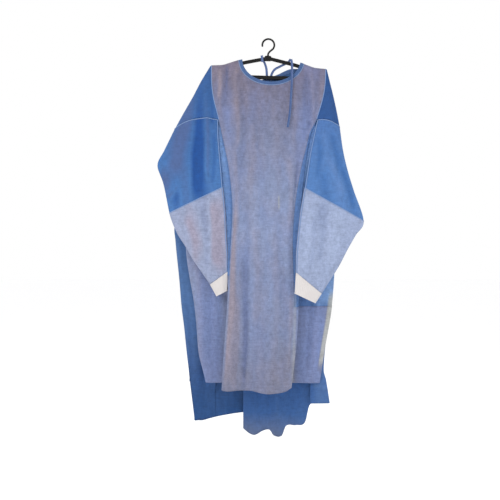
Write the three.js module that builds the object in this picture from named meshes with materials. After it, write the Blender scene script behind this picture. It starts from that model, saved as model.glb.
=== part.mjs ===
// Surgical gown on a plain plastic hanger, in millimetres, +Z up, front of the gown towards -Y.
// The origin is the point where the hook bears on a rail. Sides are the wearer's: right is -X.
import * as THREE from 'three';

// Cloth, in the thicknesses the walls are built with
const CLOTH = 1.6;
const OVERLAY = 1.2;
const KNIT = 2.2;
const BINDING = 2.6;
const TAPE = 1;
const SEAM_GAP = 0.3;

// Heights of the gown's main lines
const UNDERARM_Z = -300;
const RIGHT_PANEL_TOP_Z = -760;
const LEFT_PANEL_TOP_Z = -995;

// Hanger
const TILT = THREE.MathUtils.degToRad(1.8);
const HANGER_SPAN = 412;
const ARM_HEIGHT = 13;
const ARM_THICKNESS = 7;
const BAR_HEIGHT = 14;
const BAR_THICKNESS = 8;
const BAR_Z = -141;
const BAR_SPAN = 372;
const HOOK_WIRE = 7;
const RAIL_RADIUS = 19;
const BOSS_WIDTH = 26;
const BOSS_HEIGHT = 20;
const BOSS_Z = -69.5;

// Shoulder line of the cloth over the hanger's arms, before the hanger's tilt
const CLOTH_OVER_ARM = 8;
const SHOULDER_X = 213;

// Front neckline, a half ellipse bound with a tape
const NECK = { x: 11, z: -77, halfWidth: 122, depth: 93.5, lastAngle: THREE.MathUtils.degToRad(172.8) };
const NECK_TAPE = 13.5;
const NECK_RISE = 0.22;
const NECK_CROWDING = 0.7;

// Grid sizes
const UPPER_ROWS = 4;
const SIDE_STEPS_RIGHT = 14;
const SIDE_STEPS_LEFT = 16;
const SHOULDER_STEPS = 4;
const NECK_STEPS = 12;
const MAIN_STEPS = NECK_STEPS + 2 * SHOULDER_STEPS;

// Smooth interpolation in a table whose first column is the key
function table(names, rows) {
  const keys = rows.map((row) => row[0]);
  const last = rows.length - 1;
  const slope = (k, c) => {
    const a = Math.max(k - 1, 0);
    const b = Math.min(k + 1, last);
    return (rows[b][c] - rows[a][c]) / (keys[b] - keys[a]);
  };
  return (key) => {
    const rising = keys[last] > keys[0];
    const low = Math.min(keys[0], keys[last]);
    const high = Math.max(keys[0], keys[last]);
    const at = Math.min(Math.max(key, low), high);
    let k = 0;
    while (k < last - 1 && (rising ? at > keys[k + 1] : at < keys[k + 1])) k += 1;
    const span = keys[k + 1] - keys[k];
    const t = (at - keys[k]) / span;
    const result = {};
    names.forEach((name, n) => {
      const c = n + 1;
      const a = rows[k][c];
      const b = rows[k + 1][c];
      const ma = slope(k, c) * span;
      const mb = slope(k + 1, c) * span;
      const t2 = t * t;
      const t3 = t2 * t;
      result[name] = (2 * t3 - 3 * t2 + 1) * a + (t3 - 2 * t2 + t) * ma
        + (3 * t2 - 2 * t3) * b + (t3 - t2) * mb;
    });
    return result;
  };
}

// Uniform cubic B-spline through a control polygon of [x, y] pairs, u counted in controls
function spline(controls, u) {
  const last = controls.length - 1;
  const k = Math.min(Math.floor(u), last - 1);
  const t = u - k;
  const pick = (n) => {
    if (n < 0) return [2 * controls[0][0] - controls[1][0], 2 * controls[0][1] - controls[1][1]];
    if (n > last) {
      const a = controls[last];
      const b = controls[last - 1];
      return [2 * a[0] - b[0], 2 * a[1] - b[1]];
    }
    return controls[n];
  };
  const weights = [(1 - t) ** 3, 3 * t ** 3 - 6 * t * t + 4, -3 * t ** 3 + 3 * t * t + 3 * t + 1, t ** 3];
  const point = [0, 0];
  weights.forEach((w, n) => {
    const c = pick(k - 1 + n);
    point[0] += (w * c[0]) / 6;
    point[1] += (w * c[1]) / 6;
  });
  return point;
}

const lerp = THREE.MathUtils.lerp;
const clamp = THREE.MathUtils.clamp;

function smooth(t) {
  const s = clamp(t, 0, 1);
  return s * s * (3 - 2 * s);
}

// A grid of points with the mean normal at each, u along a row and v down the cloth
function grid({ columns, rows, at, closed = false, active = () => true }) {
  const count = closed ? columns : columns + 1;
  const points = [];
  for (let j = 0; j <= rows; j += 1) {
    points.push([]);
    for (let i = 0; i < count; i += 1) points[j].push(at(i, j));
  }
  const wrap = (i) => (closed ? (i + columns) % columns : i);
  const inside = (i, j) => j >= 0 && j < rows && (closed || (i >= 0 && i < columns)) && active(wrap(i), j);
  const normals = points.map((row, j) => row.map((point, i) => {
    const normal = new THREE.Vector3();
    for (const [a, b] of [[i - 1, j - 1], [i, j - 1], [i - 1, j], [i, j]]) {
      if (!inside(a, b)) continue;
      const p = points[b][wrap(a)];
      const q = points[b][wrap(a + 1)];
      const r = points[b + 1][wrap(a + 1)];
      const s = points[b + 1][wrap(a)];
      const across = new THREE.Vector3().subVectors(r, p);
      const other = new THREE.Vector3().subVectors(s, q);
      normal.add(across.cross(other).normalize());
    }
    return normal.normalize();
  }));
  return { columns, rows, closed, points, normals, wrap, inside };
}

// A closed wall between two offsets from a grid, over the cells that are kept
function wall(sheet, from, to, keep = () => true) {
  const positions = [];
  const index = [];
  const made = new Map();
  const offset = (value, i, j) => (typeof value === 'function' ? value(i, j) : value);
  const vertex = (i, j, side) => {
    const column = sheet.wrap(i);
    const key = `${column},${j},${side}`;
    if (!made.has(key)) {
      const distance = offset(side ? to : from, column, j);
      const p = sheet.points[j][column].clone().addScaledVector(sheet.normals[j][column], distance);
      made.set(key, positions.length / 3);
      positions.push(p.x, p.y, p.z);
    }
    return made.get(key);
  };
  const kept = (i, j) => sheet.inside(i, j) && keep(sheet.wrap(i), j);
  for (let j = 0; j < sheet.rows; j += 1) {
    for (let i = 0; i < sheet.columns; i += 1) {
      if (!kept(i, j)) continue;
      const corners = [[i, j], [i + 1, j], [i + 1, j + 1], [i, j + 1]];
      const [a, b, c, d] = corners.map(([p, q]) => vertex(p, q, 1));
      const [e, f, g, h] = corners.map(([p, q]) => vertex(p, q, 0));
      index.push(a, b, c, a, c, d, e, g, f, e, h, g);
      const neighbours = [[i, j - 1], [i + 1, j], [i, j + 1], [i - 1, j]];
      neighbours.forEach(([p, q], n) => {
        if (kept(p, q)) return;
        const start = corners[n];
        const end = corners[(n + 1) % 4];
        const [so, eo] = [vertex(...start, 1), vertex(...end, 1)];
        const [si, ei] = [vertex(...start, 0), vertex(...end, 0)];
        index.push(eo, so, si, eo, si, ei);
      });
    }
  }
  const geometry = new THREE.BufferGeometry();
  geometry.setAttribute('position', new THREE.Float32BufferAttribute(positions, 3));
  geometry.setIndex(index);
  return geometry;
}

// The same wall, its offsets counted outwards from the garment
function skin(sheet, from, to, keep) {
  if (sheet.outward > 0) return wall(sheet, from, to, keep);
  const turned = (value) => (typeof value === 'function' ? (i, j) => -value(i, j) : -value);
  return wall(sheet, turned(to), turned(from), keep);
}

// A solid lofted through rings of equal count, capped at both ends
function loft(rings) {
  const positions = [];
  const index = [];
  const n = rings[0].length;
  rings.forEach((ring) => ring.forEach((p) => positions.push(p.x, p.y, p.z)));
  for (let k = 0; k < rings.length - 1; k += 1) {
    for (let i = 0; i < n; i += 1) {
      const a = k * n + i;
      const b = k * n + ((i + 1) % n);
      index.push(a, b, b + n, a, b + n, a + n);
    }
  }
  const end = (rings.length - 1) * n;
  for (let i = 1; i < n - 1; i += 1) {
    index.push(0, i + 1, i);
    index.push(end, end + i, end + i + 1);
  }
  const geometry = new THREE.BufferGeometry();
  geometry.setAttribute('position', new THREE.Float32BufferAttribute(positions, 3));
  geometry.setIndex(index);
  return geometry;
}

function material(color, roughness) {
  return new THREE.MeshStandardMaterial({ color, roughness, metalness: 0 });
}

const BLUE = 0x5a86b9;
const GREY = 0x8d97b5;
const WHITE = 0xe6e3e1;
const TRIM = 0x58709b;
const BLACK = 0x101318;

const gown = new THREE.Group();

function add(name, geometry, color, roughness = 0.85) {
  const mesh = new THREE.Mesh(geometry, material(color, roughness));
  mesh.name = name;
  gown.add(mesh);
}

// Height of the cloth over the hanger's arms by distance from the middle
const shoulderProfile = table(['z'], [
  [0, -54],
  [108, -78.5],
  [150, -92.5],
  [170, -99],
  [190, -101],
  [220, -103],
]);

function shoulderZ(x) {
  return shoulderProfile(Math.abs(x)).z - Math.tan(TILT) * x;
}

// Share of the full depth at a distance below the shoulder line, where the cloth rounds over the arm
const SHOULDER_ROUND = 15;
const SHOULDER_EDGE_Y = 1.25;

function roundedDepth(depth, below) {
  const t = clamp(below / SHOULDER_ROUND, 0, 1);
  return lerp(SHOULDER_EDGE_Y, depth, Math.sqrt(t * (2 - t)));
}

// Front panel sections: the centre strip stands forward of a side layer at each side.
// edge: the strip's fold; bend: depth of a fold; tuck: run of cloth in behind the strip;
// side: outer fold; turn: run of cloth from that fold in to the side seam
const frontRow = table(
  ['edgeR', 'boundL', 'edgeL', 'depth', 'bend', 'tuckR', 'tuckL', 'sideR', 'sideL', 'sideY', 'turn'],
  [
    [-60, -213, 212, 213, 8, 1, 1, 1, -213, 213, -5, 1],
    [-180, -206, 200, 201, 11, 2, 1, 1, -206, 201, -4, 1],
    [-300, -185, 178, 179, 17, 5, 1, 1, -185, 179, -4, 1],
    [-345, -176, 155, 161, 21, 7, 8, 8, -186, 170, 6, 8],
    [-400, -164, 141, 147, 26, 8, 18, 14, -208, 190, 9, 20],
    [-480, -148, 121, 136, 33, 11, 30, 26, -238, 222, 8, 32],
    [-620, -134, 97, 121, 43, 13, 38, 36, -287, 250, 7, 38],
    [-760, -139, 88, 117, 50, 14, 42, 42, -312, 254, 7, 40],
    [-995, -151, 93, 110, 60, 15, 46, 46, -280, 240, 7, 40],
    [-1150, -162, 84, 100, 68, 15, 46, 46, -263, 214, 7, 40],
    [-1320, -172, 64, 79, 75, 15, 46, 46, -228, 188, 7, 36],
  ],
);

// Front hem by share of the columns: right side layer, centre strip, left side layer
const frontHem = table(['z'], [
  [0, -1279],
  [0.1, -1282],
  [0.2, -1272],
  [0.28, -1299],
  [0.44, -1298],
  [0.52, -1308],
  [0.58, -1312],
  [0.66, -1304],
  [0.71, -1292],
  [0.82, -1282],
  [0.92, -1284],
  [1, -1282],
]);

// Ridges and hollows down the centre strip by share of its width, reached in full low down
const stripWave = table(['y'], [
  [0, 0],
  [0.09, -4],
  [0.22, 3],
  [0.36, -3],
  [0.5, 2],
  [0.64, -2],
  [0.8, 3],
  [0.92, -3],
  [1, 0],
]);

const MIDDLE_ROWS = [-345, -400, -480, -620, RIGHT_PANEL_TOP_Z, -880, LEFT_PANEL_TOP_Z];
const LOWER_ROWS = 4;
const BODY_ROWS = UPPER_ROWS + MIDDLE_ROWS.length + LOWER_ROWS;
const RIGHT_PANEL_ROW = UPPER_ROWS + 1 + MIDDLE_ROWS.indexOf(RIGHT_PANEL_TOP_Z);
const LEFT_PANEL_ROW = UPPER_ROWS + 1 + MIDDLE_ROWS.indexOf(LEFT_PANEL_TOP_Z);
const FRONT_COLUMNS = SIDE_STEPS_RIGHT + MAIN_STEPS + SIDE_STEPS_LEFT;
const MAIN_START = SIDE_STEPS_RIGHT;
const MAIN_END = SIDE_STEPS_RIGHT + MAIN_STEPS;

// Height of a row, from a top edge through the underarm and the fixed rows to a hem
const FIRST_STEP = 11;

function rowZ(j, top, hem) {
  const second = top - FIRST_STEP;
  if (j === 0) return top;
  if (j <= UPPER_ROWS) return lerp(second, UNDERARM_Z, (j - 1) / (UPPER_ROWS - 1));
  const k = j - UPPER_ROWS;
  const last = MIDDLE_ROWS.length;
  if (k <= last) return MIDDLE_ROWS[k - 1];
  return lerp(MIDDLE_ROWS[last - 1], hem, (k - last) / LOWER_ROWS);
}

// Point of the front neckline; an inset gives the tape's free edge
function neckPoint(k, inset = 0) {
  const share = k / NECK_STEPS;
  const angle = NECK.lastAngle * lerp(share, smooth(share), NECK_CROWDING);
  const rise = inset * NECK_RISE;
  const x = NECK.x - (NECK.halfWidth - inset) * Math.cos(angle);
  const z = NECK.z + rise - (NECK.depth - inset + rise) * Math.sin(angle);
  return { x, z };
}

// Top edge of the front's main columns: shoulder, neckline, shoulder
function frontTop(m) {
  const k = clamp(m - SHOULDER_STEPS, 0, NECK_STEPS);
  const corner = neckPoint(k);
  let { x } = corner;
  if (m < SHOULDER_STEPS) x = lerp(-SHOULDER_X, corner.x, m / SHOULDER_STEPS);
  const past = m - SHOULDER_STEPS - NECK_STEPS;
  if (past > 0) x = lerp(corner.x, SHOULDER_X, past / SHOULDER_STEPS);
  const onNeck = m > SHOULDER_STEPS && past < 0;
  return { x, z: onNeck ? Math.min(corner.z, shoulderZ(x)) : shoulderZ(x) };
}

// The strip's waves start a little above the underarm and are full this far further down
const WAVE_START_Z = UNDERARM_Z + 100;
const WAVE_REACH = 700;

function frontMain(m, z, row) {
  const top = frontTop(m);
  const start = (top.x - row.edgeR) / (row.boundL - row.edgeR);
  const even = m / MAIN_STEPS;
  const drop = (top.z - z) / (top.z - UNDERARM_Z);
  const x = lerp(row.edgeR, row.boundL, lerp(start, even, smooth(drop)));
  const fall = smooth((WAVE_START_Z - z) / WAVE_REACH);
  return [x, fall * stripWave(even).y - roundedDepth(row.depth, shoulderZ(x) - z)];
}

// Folds of a side layer: run of cloth that leads into one, its half depth and its first corner
// as shares of the bend, the middle of its run, and the least distances between its layers
const NEAR_EDGE = 12;
const HALF_FOLD = 0.45;
const CORNER_FOLD = 0.3;
const SIDE_MIDDLE = 0.55;
const LEAST_LAYER_GAP = 8;
const LEAST_FOLD_GAP = 10;

// Section of a side layer as spline controls, from the strip's edge out to the side seam
function sideControls({ start, bend, edge, tuck, side, sideY, turn, out }) {
  const front = start[1];
  const back = front + bend;
  const inner = edge - out * tuck;
  const layer = Math.max(sideY - bend * HALF_FOLD, back + Math.min(bend, LEAST_LAYER_GAP));
  const fold = Math.max(sideY + bend * HALF_FOLD, layer + Math.min(bend, LEAST_FOLD_GAP));
  const inside = [start[0] - out * NEAR_EDGE, front];
  const corner = [edge, front + bend * CORNER_FOLD];
  const lead = [0, 1].map((c) => (6 * start[c] - inside[c] - corner[c]) / 4);
  return [
    inside,
    lead,
    corner,
    [edge, back],
    [inner, back],
    [inner, layer],
    [lerp(inner, side, SIDE_MIDDLE), layer],
    [side, layer],
    [side, fold],
    [side - out * turn, fold],
  ];
}

function frontPoint(i, j) {
  const m = clamp(i - MAIN_START, 0, MAIN_STEPS);
  const z = rowZ(j, frontTop(m).z, frontHem(i / FRONT_COLUMNS).z);
  const row = frontRow(z);
  const start = frontMain(m, z, row);
  let section = start;
  if (i < MAIN_START) {
    const controls = sideControls({
      ...row, start, edge: row.edgeR - 1, tuck: row.tuckR, side: row.sideR, out: -1,
    });
    section = spline(controls, lerp(9, 1, i / SIDE_STEPS_RIGHT));
  }
  if (i > MAIN_END) {
    const controls = sideControls({
      ...row, start, edge: row.edgeL, tuck: row.tuckL, side: row.sideL, out: 1,
    });
    section = spline(controls, lerp(1, 9, (i - MAIN_END) / SIDE_STEPS_LEFT));
  }
  return new THREE.Vector3(section[0], section[1], z);
}

const inMain = (i) => i >= MAIN_START && i < MAIN_END;

const front = grid({
  columns: FRONT_COLUMNS,
  rows: BODY_ROWS,
  at: frontPoint,
  active: (i, j) => inMain(i) || j >= UPPER_ROWS,
});
front.outward = -1;

add('front_body', skin(front, -CLOTH / 2, CLOTH / 2), BLUE);

// The reinforcement: a bib as wide as the main columns and a skirt across the side layers
const onCloth = CLOTH / 2 + SEAM_GAP;
add('front_reinforcement', skin(front, onCloth, onCloth + OVERLAY, (i, j) => {
  if (i < MAIN_START) return i > 0 && j >= RIGHT_PANEL_ROW;
  if (i >= MAIN_END) return i < FRONT_COLUMNS - 1 && j >= LEFT_PANEL_ROW;
  return true;
}), GREY);

// Back wings. Right is the outer layer of the overlap, left the inner one
const wings = {
  right: {
    out: -1,
    seamColumn: 0,
    row: table(['fold', 'foldY', 'bend', 'innerY', 'free', 'freeY'], [
      [-60, -213, 8, 1, 9, 64, 18],
      [-180, -206, 10, 1, 12, 64, 21],
      [-300, -185, 9, 6, 20, 64, 28],
      [-345, -190, 17, 7, 26, 63, 32],
      [-400, -213, 24, 9, 31, 63, 36],
      [-560, -293, 29, 13, 42, 62, 46],
      [-690, -352, 30, 14, 46, 62, 49],
      [-750, -350, 30, 14, 47, 62, 50],
      [-933, -331, 30, 14, 48, 62, 50],
      [-1200, -305, 31, 14, 50, 62, 52],
      [-1420, -279, 32, 14, 52, 62, 54],
    ]),
    neck: table(['z'], [
      [-111, -78],
      [-107, -112],
      [-93, -141],
      [-70, -159],
      [-30, -176],
      [20, -186],
      [64, -190],
    ]),
    hem: table(['z'], [
      [-285, -1417],
      [-270, -1429],
      [-252, -1431],
      [-221, -1424],
      [-172, -1414],
      [-93, -1403],
      [64, -1401],
    ]),
  },
  left: {
    out: 1,
    seamColumn: FRONT_COLUMNS,
    row: table(['fold', 'foldY', 'bend', 'innerY', 'free', 'freeY'], [
      [-60, 213, 8, 1, 9, -93, 9],
      [-180, 201, 10, 1, 11, -93, 12],
      [-300, 179, 9, 6, 16, -93, 20],
      [-345, 176, 15, 7, 21, -93, 24],
      [-400, 200, 21, 9, 25, -93, 27],
      [-560, 238, 24, 10, 29, -93, 31],
      [-785, 240, 24, 10, 30, -93, 33],
      [-974, 229, 24, 10, 31, -94, 34],
      [-1125, 216, 24, 10, 32, -94, 35],
      [-1239, 208, 24, 10, 33, -95, 36],
      [-1276, 217, 24, 10, 33, -95, 36],
      [-1365, 231, 24, 10, 34, -95, 36],
    ]),
    neck: table(['z'], [
      [133, -90],
      [129, -113],
      [112, -119],
      [85, -120],
      [62, -129],
      [44, -138],
      [0, -154],
      [-50, -168],
      [-93, -176],
    ]),
    hem: table(['z'], [
      [231, -1363],
      [176, -1366],
      [155, -1374],
      [139, -1437],
      [105, -1448],
      [67, -1451],
      [51, -1488],
      [20, -1487],
      [5, -1466],
      [-20, -1469],
      [-50, -1485],
      [-72, -1479],
      [-95, -1460],
    ]),
  },
};

const WING_SIDE_STEPS = 5;
const WING_SHOULDER_STEPS = 3;
const WING_NECK_STEPS = 10;
const WING_MAIN_STEPS = WING_SHOULDER_STEPS + WING_NECK_STEPS;
const WING_COLUMNS = WING_SIDE_STEPS + WING_MAIN_STEPS;
const SEAM_STEP = CLOTH + 0.5;
const WING_NECK_CROWDING = 2.2;

function wingTop(wing, m) {
  const corner = wing.out < 0 ? neckPoint(0).x : neckPoint(NECK_STEPS).x;
  const free = wing.row(-60).free;
  if (m <= WING_SHOULDER_STEPS) {
    const x = lerp(wing.out * SHOULDER_X, corner, m / WING_SHOULDER_STEPS);
    return { x, z: shoulderZ(x) };
  }
  const x = lerp(corner, free, ((m - WING_SHOULDER_STEPS) / WING_NECK_STEPS) ** WING_NECK_CROWDING);
  return { x, z: Math.min(wing.neck(x).z, shoulderZ(x) - 2) };
}

// Shares of the wing's width over which it comes in from the side fold and lies on the back
const WING_INNER_END = 0.25;
const TURN_MIDDLE = { x: 0.5, y: 0.7 };
const WING_BACK = { from: 0.22, over: 0.2 };

function wingDepth(row, share) {
  const fold = row.foldY + row.bend / 2;
  const inner = lerp(fold, row.innerY, smooth(share / WING_INNER_END));
  return lerp(inner, row.freeY, smooth((share - WING_BACK.from) / WING_BACK.over));
}

function wingMain(wing, m, z, row) {
  const top = wingTop(wing, m);
  const width = row.free - row.fold;
  const start = (top.x - row.fold) / width;
  const drop = (top.z - z) / (top.z - UNDERARM_Z);
  const share = lerp(start, m / WING_MAIN_STEPS, smooth(drop));
  const x = row.fold + width * share;
  return [x, roundedDepth(wingDepth(row, share), shoulderZ(x) - z)];
}

function wingPoint(wing, i, j) {
  const m = clamp(i - WING_SIDE_STEPS, 0, WING_MAIN_STEPS);
  const atHem = wing.row(-1400);
  const hemX = lerp(atHem.fold, atHem.free, m / WING_MAIN_STEPS);
  const z = rowZ(j, wingTop(wing, m).z, wing.hem(hemX).z);
  const row = wing.row(z);
  const start = wingMain(wing, m, z, row);
  if (i >= WING_SIDE_STEPS) return new THREE.Vector3(start[0], start[1], z);
  const seamZ = Math.max(z, frontHem(wing.seamColumn / FRONT_COLUMNS).z);
  const side = frontRow(seamZ);
  const seam = frontSeam(wing, side, seamZ);
  const face = row.foldY - row.bend / 2;
  const bend = [row.fold, Math.max(face, seam[1] + 1)];
  const inside = [start[0] - wing.out * NEAR_EDGE, start[1]];
  const lead = [0, 1].map((c) => (6 * start[c] - inside[c] - bend[c]) / 4);
  const middle = [lerp(seam[0], row.fold, TURN_MIDDLE.x), lerp(seam[1], bend[1], TURN_MIDDLE.y)];
  const controls = [inside, lead, bend, middle, seam];
  const section = spline(controls, lerp(4, 1, i / WING_SIDE_STEPS));
  return new THREE.Vector3(section[0], section[1], z);
}

// Where a wing's seam edge lies: on the front's seam edge, one thickness further back
function frontSeam(wing, row, z) {
  const m = wing.out < 0 ? 0 : MAIN_STEPS;
  const controls = sideControls({
    ...row,
    start: frontMain(m, z, row),
    edge: wing.out < 0 ? row.edgeR - 1 : row.edgeL,
    tuck: wing.out < 0 ? row.tuckR : row.tuckL,
    side: wing.out < 0 ? row.sideR : row.sideL,
    out: wing.out,
  });
  const end = controls[controls.length - 1];
  return [end[0], end[1] + SEAM_STEP];
}

for (const [side, wing] of Object.entries(wings)) {
  wing.sheet = grid({
    columns: WING_COLUMNS,
    rows: BODY_ROWS,
    at: (i, j) => wingPoint(wing, i, j),
    active: (i, j) => i >= WING_SIDE_STEPS || j >= UPPER_ROWS,
  });
  wing.sheet.outward = -wing.out;
  add(`back_wing_${side}`, skin(wing.sheet, -CLOTH / 2, CLOTH / 2), BLUE);
}

// Neck bindings: tapes that carry on from the panels' neck edges
function tapeAlong(name, count, edgePoint, freePoint) {
  const strip = grid({
    columns: count,
    rows: 1,
    at: (i, j) => (j === 0 ? freePoint(i) : edgePoint(i)),
  });
  add(name, wall(strip, -BINDING / 2, BINDING / 2), TRIM);
}

const FRONT_TAPE_START = SEAM_GAP + 0.2;
const WING_TAPE_START = SEAM_GAP + 0.3;
const neckDepth = (x, z) => -roundedDepth(frontRow(z).depth, shoulderZ(x) - z);

tapeAlong('neck_binding_front', NECK_STEPS, (k) => {
  const { x, z } = neckPoint(k, FRONT_TAPE_START);
  const top = Math.min(z, shoulderZ(x));
  return new THREE.Vector3(x, neckDepth(x, top) - SEAM_GAP, top);
}, (k) => {
  const { x, z } = neckPoint(k, NECK_TAPE);
  const top = Math.min(z, shoulderZ(x));
  return new THREE.Vector3(x, neckDepth(x, top) - SEAM_GAP, top);
});

for (const [side, wing] of Object.entries(wings)) {
  const edge = (k) => wing.sheet.points[0][WING_SIDE_STEPS + WING_SHOULDER_STEPS + k];
  const across = (k) => {
    const before = edge(Math.max(k - 1, 0));
    const after = edge(Math.min(k + 1, WING_NECK_STEPS));
    const along = new THREE.Vector3(after.x - before.x, 0, after.z - before.z).normalize();
    if (k === 0) return new THREE.Vector3(-wing.out, 0, NECK_RISE).normalize();
    return new THREE.Vector3(along.z * wing.out, 0, -along.x * wing.out).normalize();
  };
  const place = (k, reach) => {
    const p = edge(k).clone().addScaledVector(across(k), reach);
    p.z = Math.min(p.z, shoulderZ(p.x));
    const row = wing.row(p.z);
    const depth = wingDepth(row, (p.x - row.fold) / (row.free - row.fold));
    p.y = roundedDepth(depth, shoulderZ(p.x) - p.z);
    return p;
  };
  tapeAlong(`neck_binding_${side}`, WING_NECK_STEPS,
    (k) => place(k, WING_TAPE_START), (k) => place(k, NECK_TAPE));
}

// Sleeves. A ring lies in the plane through its inner and outer edge points and the Y axis:
// the front half runs from the inner edge to the outer one, the back half returns
const RING = 20;
const CLOSING = 4;
const FULL_DEPTH_AT = 0.4;

function halfDepth(share, edgeDepth, depth) {
  return lerp(edgeDepth, depth, smooth(share / FULL_DEPTH_AT)) * Math.sqrt(1 - share ** 4);
}

function ringPoint(k, count, row, folds = () => 0) {
  const half = (count - CLOSING) / 2;
  const inner = new THREE.Vector3(row.innerX, row.y, row.innerZ);
  const outer = new THREE.Vector3(row.outerX, row.y, row.outerZ);
  if (k > 2 * half) {
    const turn = Math.PI * (0.5 - (k - 2 * half) / CLOSING);
    const away = new THREE.Vector3().subVectors(inner, outer).normalize();
    const point = inner.clone().addScaledVector(away, row.bulge * Math.cos(turn));
    point.y += row.edge * Math.sin(turn);
    return point;
  }
  const step = k <= half ? k / half : (2 * half - k) / half;
  const share = Math.sin((Math.PI / 2) * step);
  const face = k <= half ? -1 : 1;
  const point = inner.clone().lerp(outer, share);
  point.y += face * halfDepth(share, row.edge, row.depth);
  if (k > 0 && k !== half && k < 2 * half) point.y += folds(share, face);
  return point;
}

const SLEEVE_COLUMNS = ['innerX', 'innerZ', 'outerX', 'outerZ', 'y', 'depth', 'edge', 'bulge'];

// Rows of the lower sleeves from the cross seam (0) by the elbow seam (1) to the cuff seam (2)
const sleeves = {
  right: {
    out: -1,
    column: MAIN_START,
    top: table(['x', 'z'], [
      [0, -218, -99],
      [0.25, -252, -155],
      [0.5, -283, -214],
      [0.75, -318, -275],
      [1, -350, -333],
    ]),
    row: table(SLEEVE_COLUMNS, [
      [0, -192, -302.1, -350, -334, -2, 20, 15, 4],
      [0.25, -190, -365, -387, -414, -17, 17, 13, 4],
      [0.5, -184, -430, -412, -472, -26, 17, 12, 4],
      [0.72, -178, -495, -388, -540, -35, 16, 11, 4],
      [1, -173, -556, -366, -649, -42, 16, 11, 4],
      [1.25, -164, -650, -340, -718, -44, 16, 10, 4],
      [1.5, -160, -735, -308, -770, -43, 15, 10, 4],
      [1.75, -155, -805, -268, -836, -40, 14, 10, 4],
      [2, -154, -866, -216, -912, -36, 12, 9, 3],
    ]),
    cuffEnd: { innerX: -156, innerZ: -937, outerX: -192, outerZ: -956, y: -36 },
  },
  left: {
    out: 1,
    column: MAIN_END,
    top: table(['x', 'z'], [
      [0, 218, -111],
      [0.25, 230, -160],
      [0.5, 243, -213],
      [0.75, 255, -268],
      [1, 266, -325],
    ]),
    row: table(SLEEVE_COLUMNS, [
      [0, 186, -302.5, 266, -326, -2, 20, 15, 4],
      [0.25, 169, -365, 276, -414, -21, 17, 13, 4],
      [0.5, 155, -430, 291, -488, -34, 17, 12, 4],
      [0.75, 144, -498, 314, -570, -48, 16, 11, 4],
      [1, 134, -560, 347, -679, -60, 16, 11, 4],
      [1.25, 119, -650, 316, -732, -68, 16, 10, 4],
      [1.5, 109, -735, 285, -785, -76, 15, 10, 4],
      [1.75, 103, -805, 250, -850, -82, 14, 10, 4],
      [2, 101, -869, 190, -943, -87, 12, 9, 3],
    ]),
    cuffEnd: { innerX: 97, innerZ: -945, outerX: 167, outerZ: -978, y: -90 },
  },
};

// Long soft folds down the sleeves: place across the front, width, depth, and the rows they span
const sleeveFolds = [
  { at: 0.34, width: 0.1, depth: 3, from: 0.1, to: 1.5 },
  { at: 0.62, width: 0.12, depth: -2.4, from: 0.3, to: 1.8 },
  { at: 0.84, width: 0.08, depth: 2.4, from: 0.2, to: 1.2 },
];
const FOLD_FADE = 0.3;

function foldAt(v, share, face) {
  return sleeveFolds.reduce((sum, fold) => {
    const reach = smooth((v - fold.from) / FOLD_FADE) * smooth((fold.to - v) / FOLD_FADE);
    const place = face < 0 ? fold.at : 1 - fold.at;
    return sum - face * reach * fold.depth * Math.exp(-(((share - place) / fold.width) ** 2));
  }, 0);
}

const SLEEVE_ROWS = 13;
const ELBOW_ROW = 6;
const CUFF_RING = 48;
const CUFF_ROWS = 3;
const RIB = 0.8;
const UPPER_RING = 16;
const CROWN_DEPTH = 3.5;
const CROWN_CLEARANCE = SEAM_GAP + 0.2;
const EDGE_CLEARANCE = 2;

for (const [side, sleeve] of Object.entries(sleeves)) {
  const frontEdge = (j) => front.points[j][sleeve.column];
  const backEdge = (j) => wings[side].sheet.points[j][WING_SIDE_STEPS];
  const half = UPPER_RING / 2;
  const upper = grid({
    columns: UPPER_RING,
    rows: UPPER_ROWS,
    at: (i, j) => {
      const face = i <= half ? -1 : 1;
      const step = i <= half ? i / half : (2 * half - i) / half;
      const share = Math.sin((Math.PI / 2) * step);
      const from = face < 0 ? frontEdge(j) : backEdge(j);
      const top = frontEdge(0).z;
      const drop = (from.z - top) / (UNDERARM_Z - top);
      const outer = sleeve.top(drop);
      const start = from.x + sleeve.out * lerp(CROWN_CLEARANCE, EDGE_CLEARANCE, drop);
      const depth = lerp(CROWN_DEPTH, sleeve.row(0).depth, Math.sqrt(clamp(drop, 0, 1)));
      const y = face * halfDepth(share, Math.abs(from.y), Math.max(depth, Math.abs(from.y)));
      return new THREE.Vector3(lerp(start, outer.x, share), y, lerp(from.z, outer.z, share));
    },
  });
  upper.outward = -sleeve.out;
  add(`upper_sleeve_${side}`, skin(upper, -CLOTH / 2, CLOTH / 2), BLUE);

  const lower = grid({
    columns: RING,
    rows: SLEEVE_ROWS,
    closed: true,
    at: (i, j) => {
      const v = j <= ELBOW_ROW ? j / ELBOW_ROW : 1 + (j - ELBOW_ROW) / (SLEEVE_ROWS - ELBOW_ROW);
      return ringPoint(i, RING, sleeve.row(v), (share, face) => foldAt(v, share, face));
    },
  });
  lower.outward = -sleeve.out;
  add(`sleeve_${side}`, skin(lower, -CLOTH / 2, CLOTH / 2), BLUE);
  add(`forearm_reinforcement_${side}`,
    skin(lower, onCloth, onCloth + OVERLAY, (i, j) => j >= ELBOW_ROW), GREY);

  const seam = sleeve.row(2);
  const start = { ...seam, innerZ: seam.innerZ - 1, outerZ: seam.outerZ - 1 };
  const end = { ...start, ...sleeve.cuffEnd };
  const cuff = grid({
    columns: CUFF_RING,
    rows: CUFF_ROWS,
    closed: true,
    at: (i, j) => {
      const row = {};
      Object.keys(start).forEach((key) => { row[key] = lerp(start[key], end[key], j / CUFF_ROWS); });
      return ringPoint(i, CUFF_RING, row);
    },
  });
  cuff.outward = -sleeve.out;
  add(`cuff_${side}`, skin(cuff, -KNIT / 2, (i) => KNIT / 2 + (i % 2) * RIB), WHITE, 0.95);
}

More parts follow.
